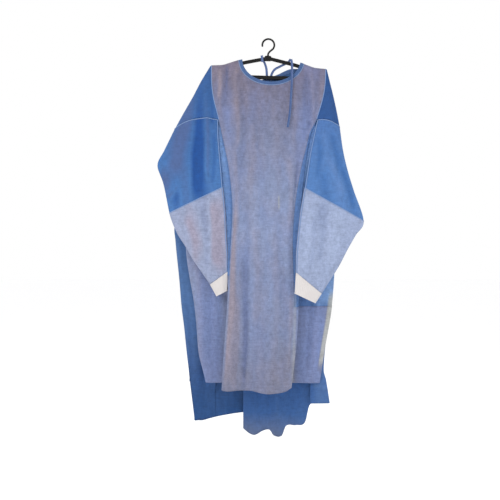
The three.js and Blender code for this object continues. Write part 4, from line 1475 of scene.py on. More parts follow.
@dataclass
class BackWing:
    """One back wing, with its sizes by height, its neck and its hem."""

    side: Side
    sections: RowTable
    neck: RowTable
    hem: RowTable
    creases: tuple[Crease, ...] = ()
    finish: NonwovenFinish = WING_OUTER
    side_steps: int = 5
    shoulder_steps: int = 3
    neck_steps: int = 10
    seam_step: float = 2.1
    pressed: bool = False
    press_from: float = -1080.0
    press_gap: float = 0.9
    run_width: float = 82.0
    fine: int = 6

    @property
    def main(self) -> int:
        """Number of columns without the side run."""
        return self.shoulder_steps + self.neck_steps

    def top(self, m: Array) -> Section:
        """x and z of the top edge: shoulder, then neck."""
        corner = NECK.point(np.array(0.0 if self.side is Side.RIGHT else NECK.steps))[0]
        free = self.sections(-60)["free"]
        on_shoulder = lerp(self.side.out * SHOULDER.reach, corner, m / self.shoulder_steps)
        along = np.clip((m - self.shoulder_steps) / self.neck_steps, 0, 1) ** 2.2
        on_neck = lerp(corner, free, along)
        first = m <= self.shoulder_steps
        x = np.where(first, on_shoulder, on_neck)
        line = SHOULDER.height(x)
        return x, np.where(first, line, np.minimum(self.neck(x)["z"], line - 2))

    def depth(self, row: dict[str, Array], share: Array) -> Array:
        """Depth of the wing at a share of its width."""
        fold = row["foldY"] + row["bend"] / 2
        near = lerp(fold, row["innerY"], smooth(share * 4))
        return lerp(near, row["freeY"], smooth((share - 0.22) / 0.2))

    def spread(self, m: Array, z: Array, row: dict[str, Array]) -> Section:
        """x and y of the wing across the back."""
        top_x, top_z = self.top(m)
        width = row["free"] - row["fold"]
        start = (top_x - row["fold"]) / width
        drop = (top_z - z) / (top_z - ROWS.underarm)
        share = lerp(start, m / self.main, smooth(drop))
        x = row["fold"] + width * share
        return x, SHOULDER.rounded(self.depth(row, share), SHOULDER.height(x) - z)

    def surface(self, i: Array, j: Array, front: FrontPanel) -> Array:
        """Points of the wing at columns and rows of the solid."""
        m = np.clip(i - self.side_steps, 0, self.main)
        at_hem = self.sections(-1400)
        hem_x = lerp(at_hem["fold"], at_hem["free"], m / self.main)
        if self.pressed:
            run = 1 - np.clip(i / self.side_steps, 0, 1)
            hem_x = hem_x - self.side.out * self.run_width * run
        z = ROWS.height(j, self.top(m)[1], self.hem(hem_x)["z"])
        row = self.sections(z)
        x, y = self.spread(m, z, row)
        seam_column = 0 if self.side is Side.RIGHT else front.columns
        seam_z = np.maximum(z, front.hem(seam_column / front.columns)["z"])
        end = front.side_controls(self.side, seam_z, front.sections(seam_z))[-1]
        seam = (end[0], end[1] + self.seam_step)
        face = row["foldY"] - row["bend"] / 2
        bend = (row["fold"], np.maximum(face, seam[1] + 1))
        start = self.spread(np.zeros_like(z), z, row)
        inside = (start[0] - self.side.out * front.near_edge, start[1])
        lead = tuple((6 * start[c] - inside[c] - bend[c]) / 4 for c in (0, 1))
        middle = (lerp(seam[0], row["fold"], 0.5), lerp(seam[1], bend[1], 0.7))
        turned = spline(
            [inside, lead, bend, middle, seam], np.clip(lerp(4, 1, i / self.side_steps), 1, 4)
        )
        first = i < self.side_steps
        x = np.where(first, turned[0], x)
        run_y = turned[1]
        if self.pressed:
            hidden = smooth((self.press_from - z) / 190) * smooth(i / 1.5)
            below = np.maximum(hidden, smooth((seam_z - z) / 24))
            behind = self.depth(row, (x - row["fold"]) / (row["free"] - row["fold"])) - self.press_gap
            run_y = lerp(run_y, behind, below)
        return np.stack([x, np.where(first, run_y, y), z], axis=2)

    def places(self) -> tuple[Array, Array]:
        """Fine columns and rows, counted in the solid's."""
        stops = (0, self.side_steps, self.side_steps + self.main)
        counts = (self.side_steps * self.fine, self.main * self.fine)
        return np.meshgrid(stepped(stops, counts), ROWS.places())

    def sheet(self, front: FrontPanel) -> Sheet:
        """The wing as a creased sheet."""
        i, j = self.places()
        points = self.surface(i, j, front)
        cell_i = (i[:-1, :-1] + i[:-1, 1:]) / 2
        cell_j = (j[:-1, :-1] + j[1:, :-1]) / 2
        active = (cell_i > self.side_steps) | (cell_j > ROWS.upper)
        plain = Sheet(points, float(-self.side.out), active=active)
        x, z = points[:, :, 0], points[:, :, 2]
        face = 2 * smooth((i - self.side_steps + 0.8) / 1.6) - 1
        lift, shading_and_grain = lifted(x, z, self.creases, face)
        spread = smooth(i / 1.2)
        return plain.raised(lift * spread, shading_and_grain * spread)

    def build(self, front: FrontPanel) -> Sheet:
        """Make the wing.

        Args:
            front: the front panel that it is sewn to.

        Returns:
            The wing's sheet, which the sleeve and the binding join.
        """
        sheet = self.sheet(front)
        half = CLOTH.body / 2
        name = self.side.value
        wing = place_piece(
            f"back_wing_{name}_cloth",
            shell(sheet, -half, half),
            self.finish,
            [f"back_wing_{name}"],
        )
        declare(wing, sheet)
        return sheet


BACK = Face.BACK

WINGS = (
    BackWing(
        Side.RIGHT,
        RowTable(
            ("fold", "foldY", "bend", "innerY", "free", "freeY"),
            [
                (-60, -213, 8, 1, 9, 64, 18),
                (-180, -206, 10, 1, 12, 64, 21),
                (-300, -185, 9, 6, 20, 64, 28),
                (-345, -190, 17, 7, 26, 63, 32),
                (-400, -213, 24, 9, 31, 63, 36),
                (-560, -293, 29, 13, 42, 62, 46),
                (-690, -352, 30, 14, 46, 62, 49),
                (-750, -350, 30, 14, 47, 62, 50),
                (-933, -331, 30, 14, 48, 62, 50),
                (-1200, -305, 31, 14, 50, 62, 52),
                (-1420, -279, 32, 14, 52, 62, 54),
            ],
        ),
        RowTable(
            ("z",),
            [(-111, -78), (-107, -112), (-93, -141), (-70, -159), (-30, -176), (20, -186), (64, -190)],
        ),
        RowTable(
            ("z",),
            [
                (-285, -1417), (-270, -1429), (-252, -1431), (-221, -1424), (-172, -1414),
                (-93, -1403), (64, -1401),
            ],
        ),
        creases=(
            Crease((-150, -100), (-128, -420), 13, 5.0, 4, BACK),
            Crease((-186, -104), (-176, -330), 9, -4.0, 2, BACK),
            Crease((-96, -170), (-70, -640), 15, -5.0, 6, BACK),
            Crease((-40, -210), (-30, -820), 18, 5.0, 8, BACK),
            Crease((10, -220), (14, -700), 14, -4.0, 5, BACK),
            Crease((44, -230), (40, -1180), 12, 4.0, 5, BACK),
            Crease((-140, -420), (-196, -1120), 18, 6.0, 8, BACK),
            Crease((-200, -470), (-262, -1390), 15, -5.0, 7, BACK),
            Crease((-110, -640), (-128, -1420), 17, -5.5, 8, BACK),
            Crease((-60, -800), (-66, -1410), 14, 4.5, 6, BACK),
            Crease((-10, -860), (-16, -1410), 12, -3.5, 5, BACK),
            Crease((-240, -640), (-290, -1100), 12, 4.0, 4, BACK),
            Crease((-210, -560), (-60, -600), 9, 1.6, 5, BACK),
            Crease((-180, -980), (20, -950), 9, -1.5, 5, BACK),
            Crease((-336, -700), (-322, -1100), 9, 2.6, 3),
            Crease((-308, -900), (-286, -1400), 10, -2.4, 3),
            Crease((-318, -1020), (-296, -1060), 5, 0.9, 1),
        ),
        pressed=True,
    ),
    BackWing(
        Side.LEFT,
        RowTable(
            ("fold", "foldY", "bend", "innerY", "free", "freeY"),
            [
                (-60, 213, 8, 1, 9, -93, 9),
                (-180, 201, 10, 1, 11, -93, 12),
                (-300, 179, 9, 6, 16, -93, 20),
                (-345, 176, 15, 7, 21, -93, 24),
                (-400, 200, 21, 9, 25, -93, 27),
                (-560, 238, 24, 10, 29, -93, 31),
                (-785, 240, 24, 10, 30, -93, 33),
                (-974, 229, 24, 10, 31, -94, 34),
                (-1125, 216, 24, 10, 32, -94, 35),
                (-1239, 208, 24, 10, 33, -95, 36),
                (-1276, 217, 24, 10, 33, -95, 36),
                (-1365, 231, 24, 10, 34, -95, 36),
            ],
        ),
        RowTable(
            ("z",),
            [
                (133, -90), (129, -113), (112, -119), (85, -120), (62, -129), (44, -138),
                (0, -154), (-50, -168), (-93, -176),
            ],
        ),
        RowTable(
            ("z",),
            [
                (231, -1363), (176, -1366), (155, -1374), (139, -1437), (105, -1448), (67, -1451),
                (51, -1488), (20, -1487), (5, -1466), (-20, -1469), (-50, -1485), (-72, -1479),
                (-95, -1460),
            ],
        ),
        creases=(
            Crease((150, -110), (140, -400), 12, 4.0, 3, BACK),
            Crease((110, -150), (96, -520), 13, -4.0, 4, BACK),
            Crease((182, -110), (176, -330), 9, -3.5, 2, BACK),
            Crease((150, -460), (170, -1130), 15, 4.0, 6, BACK),
            Crease((200, -520), (196, -1340), 13, -3.5, 5, BACK),
            Crease((110, -620), (120, -1430), 14, -4.0, 6, BACK),
            Crease((78, -560), (70, -1440), 12, 3.0, 4, BACK),
            Crease((30, -1200), (34, -1480), 9, 2.6, 2, BACK),
            Crease((-40, -1240), (-36, -1480), 10, -2.6, 2, BACK),
            Crease((4, -1180), (6, -1465), 8, -2.4, 2, BACK),
            Crease((90, -880), (206, -910), 9, 1.4, 4, BACK),
            # The next crease paints a highlight along a crease line, and the last paints light over the lower flap
            # by the outer fold.
            Crease((154, -1290), (226, -1307), 3, 1.2, 1, shading_and_grain=4.0),
            Crease((196, -1300), (214, -1360), 7, -1.6, 1),
            Crease((196, -1190), (206, -1440), 40, 0.0, shading_and_grain=4.0),
        ),
        finish=WING_INNER,
    ),
)


@dataclass
class NeckBindings:
    """Folded tapes round the neck edge, each with a line of stitches."""

    fine: int = 14
    rows: int = 14
    overlap: float = 2.4
    stitch: float = 3.2
    thread: float = 2.2

    def band(self, name: str, points: Array, outward: float, rests_on: str) -> None:
        """Make one tape from a grid that runs from its free edge to the cloth.

        Args:
            name: name of the solid that it stands for.
            points: the grid, in millimetres.
            outward: direction of the grid's outside.
            rests_on: the piece that it is sewn to; not used.
        """
        rows = points.shape[0]
        share = np.linspace(0, 1, rows)[:, None]
        run = np.arange(points.shape[1])[None, :]
        edge = np.sqrt(np.clip(1 - np.abs(2 * share - 1) ** 9, 0.02, 1))
        pucker = 0.16 * np.sin(run * 1.9) * np.sin(run * 0.37 + 1) * share
        ridge = 0.35 * np.exp(-(((share - 0.9) / 0.05) ** 2))
        half = CLOTH.binding / 2 * edge
        # Painted shade along the groove at the stitch line.
        sheet = Sheet(points, outward, ridge=np.broadcast_to(-ridge * 3, points.shape[:2]).copy())
        body = shell(sheet, -half + 0 * run, half - ridge + pucker)
        piece = place_piece(f"{name}_tape", body, BINDING_BLUE, [name])
        declare(piece, sheet)
        normals = sheet.normals()
        line = int(round((rows - 1) * 0.86))
        offset = CLOTH.binding / 2 + 0.1
        route = points[line] + normals[line] * offset
        stitches = welt(route, normals[line], self.thread, 0.5, self.stitch, 0.7)
        place_piece(f"{name}_stitches", stitches, BINDING_THREAD)

    def front(self, panel: FrontPanel) -> None:
        """Make the tape of the front neckline."""
        k = np.linspace(0, NECK.steps, NECK.steps * self.fine + 1)
        rows = []
        for inset in np.linspace(NECK.tape, -self.overlap, self.rows):
            x, z = NECK.point(k, inset)
            z = np.minimum(z, SHOULDER.height(x))
            depth = panel.sections(z)["depth"]
            y = -SHOULDER.rounded(depth, SHOULDER.height(x) - z) - 0.3
            rows.append(np.stack([x, y, z], axis=1))
        self.band("neck_binding_front", np.stack(rows), -1.0, "front_cloth")

    def wing(self, wing: BackWing, sheet: Sheet) -> None:
        """Make the tape of a wing's neck edge."""
        start = (wing.side_steps + wing.shoulder_steps) * wing.fine
        edge = sheet.points[0, start:]
        along = np.gradient(edge, axis=0)
        along[:, 1] = 0
        along /= np.linalg.norm(along, axis=1, keepdims=True)
        out = wing.side.out
        across = np.stack([along[:, 2] * out, np.zeros(len(edge)), -along[:, 0] * out], axis=1)
        first = np.array([-out, 0, 0.22]) / np.hypot(1, 0.22)
        blend = smooth(np.arange(len(edge)) / wing.fine)[:, None]
        across = lerp(first[None, :], across, blend)
        across /= np.linalg.norm(across, axis=1, keepdims=True)
        rows = []
        for reach in np.linspace(NECK.tape, -self.overlap, self.rows):
            points = edge + across * reach
            points[:, 2] = np.minimum(points[:, 2], SHOULDER.height(points[:, 0]))
            row = wing.sections(points[:, 2])
            share = (points[:, 0] - row["fold"]) / (row["free"] - row["fold"])
            below = SHOULDER.height(points[:, 0]) - points[:, 2]
            points[:, 1] = SHOULDER.rounded(wing.depth(row, share), below)
            rows.append(points)
        name = f"neck_binding_{wing.side.value}"
        self.band(name, np.stack(rows), float(-out), f"back_wing_{wing.side.value}_cloth")


SLEEVE_COLUMNS = ("innerX", "innerZ", "outerX", "outerZ", "y", "depth", "edge", "bulge")


def half_depth(share: Array, edge: Array, depth: Array) -> Array:
    """Half the depth of a sleeve at a share of its width, nothing at the outer fold."""
    return lerp(edge, depth, smooth(share / 0.4)) * np.sqrt(np.clip(1 - share**4, 0, 1))


@dataclass
class Sleeve:
    """A sleeve: upper piece, lower piece, forearm reinforcement and knit cuff."""

    side: Side
    crown: RowTable
    rows: RowTable
    cuff_end: dict[str, float]
    creases: tuple[Crease, ...]
    bow: float
    ring: int = 20
    closing: int = 4
    elbow_row: int = 6
    row_count: int = 13
    edge_clearance: float = 0.4
    ribs: int = 48
    rib_height: float = 0.7
    folds: tuple[tuple[float, float, float, float, float], ...] = (
        (0.34, 0.10, 3, 0.1, 1.5),
        (0.62, 0.12, -2.4, 0.3, 1.8),
        (0.84, 0.08, 2.4, 0.2, 1.2),
    )
    upper_finish: NonwovenFinish = SLEEVE_BLUE
    lower_finish: NonwovenFinish = SLEEVE_BLUE
    forearm_finish: NonwovenFinish = GREY_FOREARM
    seam_width: float = 3.8
    seam_stitch: float = 3.4
    inner_seam_at: float = 0.992

    def fold_at(self, v: Array, share: Array, face: Array) -> Array:
        """How far the long folds move the cloth along Y.

        Args:
            v: place down the sleeve, 0 at the cross seam, 1 at the elbow, 2 at the cuff.
            share: share of the sleeve's width from its inner edge.
            face: -1 on the front, 1 on the back.

        Returns:
            Distance along Y, in millimetres.
        """
        total = np.zeros(np.broadcast(v, share).shape)
        for at, width, depth, start, end in self.folds:
            reach = smooth((v - start) / 0.3) * smooth((end - v) / 0.3)
            place = np.where(face < 0, at, 1 - at)
            total = total - face * reach * depth * np.exp(-(((share - place) / width) ** 2))
        ends = smooth(share / 0.12) * smooth((1 - share) / 0.12)
        return total * ends

    def round_points(self, k: Array, row: dict[str, Array], v: Array | None = None) -> tuple[Array, Array]:
        """Points round the sleeve, and the face that each lies on.

        Args:
            k: place round the ring, counted in the solid's columns.
            row: the ring's sizes.
            v: place down the sleeve, where its long folds are wanted.

        Returns:
            The points and the face at each, from -1 on the front to 1 on the back.
        """
        half = (self.ring - self.closing) / 2
        share = self.share_at(k)
        face = np.where(k <= half, -1.0, 1.0)
        x = lerp(row["innerX"], row["outerX"], share)
        z = lerp(row["innerZ"], row["outerZ"], share)
        y = row["y"] + face * half_depth(share, row["edge"], row["depth"])
        if v is not None:
            y = y + self.fold_at(v, share, face)
        turn = math.pi * (0.5 - (k - 2 * half) / self.closing)
        dx, dz = row["innerX"] - row["outerX"], row["innerZ"] - row["outerZ"]
        long = np.hypot(dx, dz)
        closing = k > 2 * half
        bulge = row["bulge"] * np.cos(turn)
        x = np.where(closing, row["innerX"] + dx / long * bulge, x)
        z = np.where(closing, row["innerZ"] + dz / long * bulge, z)
        y = np.where(closing, row["y"] + row["edge"] * np.sin(turn), y)
        face = np.where(closing, np.sin(turn), face * smooth((1 - share) / 0.02 + 0.2))
        return np.stack([x, y, z], axis=2), face

    def upper_sheet(self, front: Sheet, wing: Sheet, front_column: int, wing_column: int) -> Sheet:
        """The upper piece from the armhole seam down to the cross seam.

        Args:
            front: the front's sheet.
            wing: the wing's sheet.
            front_column: the front's column at the armhole.
            wing_column: the wing's column at the armhole.

        Returns:
            The creased sheet.
        """
        last = int(np.argmin(np.abs(ROWS.places() - ROWS.upper)))
        front_edge = front.points[: last + 1, front_column][:, None]
        wing_edge = wing.points[: last + 1, wing_column][:, None]
        i = np.linspace(0, 16, 97)[None, :]
        face = np.where(i <= 8, -1.0, 1.0)
        share = np.sin(math.pi / 2 * np.where(i <= 8, i / 8, (16 - i) / 8))
        start = np.where(face[:, :, None] < 0, front_edge, wing_edge)
        top = front_edge[0, 0, 2]
        drop = (start[:, :, 2] - top) / (ROWS.underarm - top)
        outer = self.crown(drop)
        out = self.side.out
        edge_y = np.abs(start[:, :, 1])
        depth = np.maximum(lerp(3.5, 20, np.sqrt(np.clip(drop, 0, 1))), edge_y)
        y = face * half_depth(share, edge_y, depth)
        x = lerp(start[:, :, 0] + out * self.edge_clearance * drop, outer["x"], share)
        z = lerp(start[:, :, 2], outer["z"], share)
        z = z + self.bowed(share) * smooth((drop - 0.6) / 0.4)
        plain = Sheet(np.stack([x, y, z], axis=2), float(-out))
        ends = smooth(share / 0.15) * smooth((1 - share) / 0.1)
        ends = ends * smooth(drop / 0.15)
        lift, shading_and_grain = lifted(x, z, self.creases, face + 0 * x)
        return plain.raised(lift * ends, shading_and_grain * ends)

    def lower_sheet(self) -> tuple[Sheet, Array]:
        """The lower piece from the cross seam to the cuff seam, and its rows.

        Returns:
            The creased sheet and the place down the sleeve of each of its rows.
        """
        k = np.arange(0, self.ring, self.ring / 128)[None, :]
        v = np.concatenate([np.linspace(0, 1, 52), np.linspace(1, 2, 57)[1:]])[:, None]
        points, face = self.round_points(k, self.rows(v), v)
        points[:, :, 2] += self.bowed(self.share_at(k)) * smooth(1 - v / 0.3)
        plain = Sheet(points, float(-self.side.out), closed=True)
        x, z = points[:, :, 0], points[:, :, 2]
        lift, shading_and_grain = lifted(x, z, self.creases, face)
        gather = smooth((v - 1.86) / 0.14)
        pleats = 0.9 * np.sin(k * 6.1 + np.sin(k * 2.3) * 0.8) + 0.5 * np.sin(k * 9.7 + 1.1)
        sheet = plain.raised(lift * smooth((2 - v) / 0.12) + gather * pleats)
        # The ridge share here is painted highlight and shade from the creases, their tints and the long folds.
        sheet.ridge = plain.ridge + lift + shading_and_grain + self.long_fold_shading(k, v)
        return sheet, v[:, 0]

    def share_at(self, k: Array) -> Array:
        """Share of the sleeve's width at a place round the ring."""
        half = (self.ring - self.closing) / 2
        step = np.where(k <= half, k / half, (2 * half - k) / half)
        return np.sin(math.pi / 2 * np.clip(step, 0, 1))

    def bowed(self, share: Array) -> Array:
        """How far the cross seam bows up at a share of the sleeve's width."""
        return self.bow * 4 * share * (1 - share)

    def long_fold_shading(self, k: Array, v: Array) -> Array:
        """How far the long folds stand out, as painted highlight and shade for the finish."""
        half = (self.ring - self.closing) / 2
        face = np.where(k <= half, -1.0, 1.0)
        return np.where(k <= 2 * half, self.fold_at(v, self.share_at(k), face) * face, 0.0)

    def cuff_sheet(self) -> Sheet:
        """The knit cuff, ribbed all round."""
        count = self.ribs * 6
        k = (np.arange(count) * self.ring / count)[None, :]
        t = np.linspace(0, 1, 26)[:, None]
        seam = {name: float(value) for name, value in self.rows(2.0).items()}
        start = {**seam, "innerZ": seam["innerZ"] - 0.2, "outerZ": seam["outerZ"] - 0.2}
        end = {**start, **self.cuff_end}
        row = {name: lerp(start[name], end[name], t) for name in start}
        points, _ = self.round_points(k, row)
        plain = Sheet(points, float(-self.side.out), closed=True)
        wave = np.cos(2 * math.pi * np.arange(count) / 6)[None, :]
        roll = 0.6 * smooth((t - 0.9) / 0.1)
        lift = self.rib_height * (0.5 + 0.5 * wave) * lerp(0.75, 1.0, smooth(t * 6)) + roll
        return plain.raised(np.broadcast_to(lift, points.shape[:2]))

    def seam(self, name: str, points: Array, normals: Array, rise: float = 0.4) -> None:
        """Make a seam line on the outside of the cloth, raised by a distance."""
        line = welt(points + normals * rise, normals, self.seam_width, 1.0, self.seam_stitch, 0.8)
        place_piece(name, line, SEAM_LINE)

    def build(self, front: Sheet, wing: Sheet, front_column: int, wing_column: int) -> None:
        """Make the sleeve's pieces and their seam lines.

        Args:
            front: the front's sheet.
            wing: the wing's sheet.
            front_column: the front's column at the armhole.
            wing_column: the wing's column at the armhole.
        """
        name = self.side.value
        half = CLOTH.body / 2
        upper = self.upper_sheet(front, wing, front_column, wing_column)
        piece = place_piece(
            f"upper_sleeve_{name}_cloth",
            shell(upper, -half, half),
            self.upper_finish,
            [f"upper_sleeve_{name}"],
        )
        declare(piece, upper)
        lower, v = self.lower_sheet()
        piece = place_piece(
            f"sleeve_{name}_cloth",
            shell(lower, -half, half),
            self.lower_finish,
            [f"sleeve_{name}"],
        )
        declare(piece, lower)
        below = np.broadcast_to((v[:-1] >= 0.999)[:, None], lower.active.shape)
        part = Sheet(lower.points, lower.outward, True, lower.active & below)
        piece = place_piece(
            f"forearm_{name}_reinforcement",
            shell(lower, CLOTH.overlay_from, CLOTH.overlay_to, below),
            self.forearm_finish,
            [f"forearm_reinforcement_{name}"],
        )
        declare(piece, part)
        cuff = self.cuff_sheet()
        piece = place_piece(
            f"cuff_{name}_knit",
            shell(cuff, -CLOTH.knit / 2, CLOTH.knit / 2),
            CUFF_KNIT,
            [f"cuff_{name}"],
        )
        declare(piece, cuff)
        self.seam_lines(upper, lower, v)

    def seam_lines(self, upper: Sheet, lower: Sheet, v: Array) -> None:
        """Make the armhole, cross, elbow and inner seam lines."""
        name = self.side.value
        up_normals, low_normals = upper.normals(), lower.normals()
        self.seam(f"armhole_seam_front_{name}", upper.points[:, 0], up_normals[:, 0])
        self.seam(f"armhole_seam_back_{name}", upper.points[:, -1], up_normals[:, -1])
        elbow = int(np.argmin(np.abs(v - 1)))
        for label, row, rise in (("cross", 0, 0.4), ("elbow", elbow, 0.9)):
            points = np.concatenate([lower.points[row], lower.points[row, :1]])
            normals = np.concatenate([low_normals[row], low_normals[row, :1]])
            self.seam(f"{label}_seam_{name}", points, normals, rise)
        inner = round(lower.points.shape[1] * self.inner_seam_at)
        self.seam(f"inner_seam_{name}", lower.points[:, inner], low_normals[:, inner], 1.2)


SLEEVES = (
    Sleeve(
        Side.RIGHT,
        RowTable(
            ("x", "z"),
            [(0, -218, -99), (0.25, -252, -155), (0.5, -283, -214), (0.75, -318, -275), (1, -350, -333)],
        ),
        RowTable(
            SLEEVE_COLUMNS,
            [
                (0, -190, -301.6, -350, -334, -2, 20, 15, 4),
                (0.25, -189, -365, -387, -414, -17, 17, 13, 4),
                (0.5, -184, -430, -412, -472, -26, 17, 12, 4),
                (0.72, -178, -495, -388, -540, -35, 16, 11, 4),
                (1, -173, -556, -366, -649, -42, 16, 11, 4),
                (1.25, -164, -650, -340, -718, -44, 16, 10, 4),
                (1.5, -160, -735, -308, -770, -43, 15, 10, 4),
                (1.75, -155, -805, -268, -836, -40, 14, 10, 4),
                (2, -154, -866, -216, -912, -36, 12, 9, 3),
            ],
        ),
        {"innerX": -156.0, "innerZ": -937.0, "outerX": -192.0, "outerZ": -956.0, "y": -36.0},
        creases=(
            # The last values of these first five creases paint shade along troughs, a grey-violet shading over the
            # outer side and a highlight on the inner forearm.
            Crease((-257, -90), (-268, -660), 21, -3.5, 3, shading_and_grain=-2.4),
            Crease((-234, -160), (-222, -560), 8, 4.0, 2),
            Crease((-212, -180), (-206, -330), 6, -3.0, 1, shading_and_grain=-1.0),
            Crease((-256, -110), (-400, -630), 33, 2.5, 3, sharp=2.6, shading_and_grain=3.0),
            Crease((-182, -560), (-174, -900), 24, 0.0, 2, shading_and_grain=4.0),
            Crease((-352, -400), (-330, -640), 14, -0.8, 3),
            Crease((-330, -545), (-372, -600), 7, 3.0, 1),
            Crease((-318, -575), (-372, -625), 6, -0.8, 1),
            Crease((-200, -330), (-204, -560), 8, -2.5, 2),
            Crease((-210, -580), (-192, -860), 15, 5.0, 3),
            Crease((-246, -600), (-220, -880), 11, -3.4, 3),
            Crease((-300, -640), (-256, -850), 16, 4.0, 4),
            Crease((-256, -160), (-250, -520), 13, -5.0, 4, BACK),
            Crease((-300, -300), (-310, -620), 16, 5.0, 5, BACK),
            Crease((-226, -330), (-214, -640), 11, 4.0, 3, BACK),
            Crease((-230, -620), (-206, -880), 12, -4.0, 3, BACK),
            Crease((-290, -660), (-240, -860), 13, 4.0, 3, BACK),
        ),
        bow=19.0,
    ),
    Sleeve(
        Side.LEFT,
        RowTable(
            ("x", "z"),
            [(0, 218, -111), (0.25, 230, -160), (0.5, 243, -213), (0.75, 255, -268), (1, 266, -325)],
        ),
        RowTable(
            SLEEVE_COLUMNS,
            [
                (0, 184, -301.8, 266, -326, -2, 20, 15, 4),
                (0.25, 169, -365, 276, -414, -21, 17, 13, 4),
                (0.5, 155, -430, 291, -488, -34, 17, 12, 4),
                (0.75, 144, -498, 314, -570, -48, 16, 11, 4),
                (1, 134, -560, 347, -679, -60, 16, 11, 4),
                (1.25, 119, -650, 316, -732, -68, 16, 10, 4),
                (1.5, 109, -735, 285, -785, -76, 15, 10, 4),
                (1.75, 103, -805, 250, -850, -82, 14, 10, 4),
                (2, 101, -869, 190, -943, -87, 12, 9, 3),
            ],
        ),
        {"innerX": 97.0, "innerZ": -945.0, "outerX": 167.0, "outerZ": -978.0, "y": -90.0},
        creases=(
            Crease((236, -330), (262, -560), 12, -3.5, 3),
            Crease((208, -330), (205, -520), 11, 3.5, 3),
            Crease((214, -430), (282, -600), 12, 3.5, 3),
            Crease((190, -350), (178, -540), 8, -3.0, 2),
            Crease((272, -470), (318, -640), 10, -2.6, 2),
            Crease((240, -200), (252, -330), 9, -2.5, 2),
            Crease((204, -600), (186, -850), 16, -4.0, 5),
            Crease((250, -620), (232, -860), 18, 4.5, 5),
            Crease((150, -590), (134, -860), 11, 4.0, 3),
            Crease((170, -640), (150, -880), 8, -2.6, 2),
            Crease((250, -330), (262, -600), 14, -4.5, 4, BACK),
            Crease((205, -340), (212, -560), 12, 4.0, 3, BACK),
            Crease((230, -620), (200, -880), 14, 4.0, 3, BACK),
            Crease((290, -660), (252, -820), 11, -3.5, 3, BACK),
            Crease((160, -620), (140, -860), 10, -3.0, 3, BACK),
        ),
        bow=9.0,
        upper_finish=SLEEVE_SHADED,
        lower_finish=SLEEVE_LIT,
        forearm_finish=FOREARM_LIT,
    ),
)


@dataclass
class NeckTie:
    """A narrow tape that ties the neck: its route is x, y, z and turn in degrees."""

    name: str
    route: tuple[tuple[float, float, float, float], ...]
    width: float = 8.6
    curl: float = 1.8
    columns: int = 12
    spacing: float = 2.5

    def build(self) -> None:
        """Make the tape with its rolled edges and a line of stitches."""
        route = np.array(self.route)
        steps = np.linalg.norm(np.diff(route[:, :3], axis=0), axis=1)
        run = np.concatenate([[0], np.cumsum(steps)])
        curve = RowTable(("x", "y", "z", "turn"), [(r, *p) for r, p in zip(run, self.route)])
        at = np.linspace(0, run[-1], int(run[-1] / self.spacing) + 1)
        line = curve(at)
        middle = np.stack([line["x"], line["y"], line["z"]], axis=1)
        turn = np.radians(line["turn"])
        across = np.stack([np.cos(turn), np.zeros_like(turn), np.sin(turn)], axis=1)
        share = np.linspace(-0.5, 0.5, self.columns + 1)
        points = middle[:, None] + across[:, None] * share[None, :, None] * self.width
        curl = self.curl * (2 * share) ** 2
        wander = 0.25 * np.sin(at / 9.0)[:, None] * np.cos(share * 9)[None, :]
        sheet = Sheet(points, 1.0)
        thick = CLOTH.tape / 2 * np.sqrt(np.clip(1 - np.abs(2 * share) ** 8, 0.05, 1))
        sheet = sheet.raised(np.broadcast_to(-curl[None, :], points.shape[:2]) + wander)
        sheet.ridge = np.zeros(points.shape[:2])
        piece = place_piece(
            f"{self.name}_tape", shell(sheet, -thick[None, :] + 0 * at[:, None], thick[None, :] + 0 * at[:, None]),
            TIE_BLUE, [self.name],
        )
        declare(piece, sheet)
        normals = sheet.normals()
        column = int(self.columns * 0.78)
        for face, label in ((1, "inside"), (-1, "outside")):
            offset = points_on(sheet, normals, column, face * (CLOTH.tape / 2 + 0.05))
            stitches = welt(offset, face * normals[:, column], 0.8, 0.25, 2.8)
            place_piece(f"{self.name}_stitches_{label}", stitches, BINDING_THREAD)


def points_on(sheet: Sheet, normals: Array, column: int, distance: float) -> Array:
    """Points of one column of a sheet, moved out by a distance."""
    return sheet.points[:, column] + normals[:, column] * distance


TIES = (
    NeckTie(
        "neck_tie_long",
        (
            (8, 8.1, -152, 0), (10, 7.6, -132, -25), (22, 6.4, -110, -45), (44, 6.2, -97, -55),
            (66, 6.4, -86, -40), (80, 5.6, -75, -12), (83, 0, -72, -12), (85, -7, -77, -6),
            (87, -15, -95, 0), (87, -19, -125, 0), (86, -21, -165, 0), (83, -24, -215, 2),
            (79, -28, -272, 3), (71, -31, -331, 5),
        ),
    ),
    NeckTie(
        "neck_tie_loop",
        (
            (-6, 8.6, -152, 0), (-6, 7.4, -128, 2), (-9, 6.4, -100, 4), (-19, 6.2, -74, 8),
            (-24, 5.4, -62, 12), (-25, 0, -58.5, 12), (-25, -5.6, -62, 12), (-24, -6.6, -74, 8),
            (-23, -6.8, -84, 5),
        ),
    ),
)


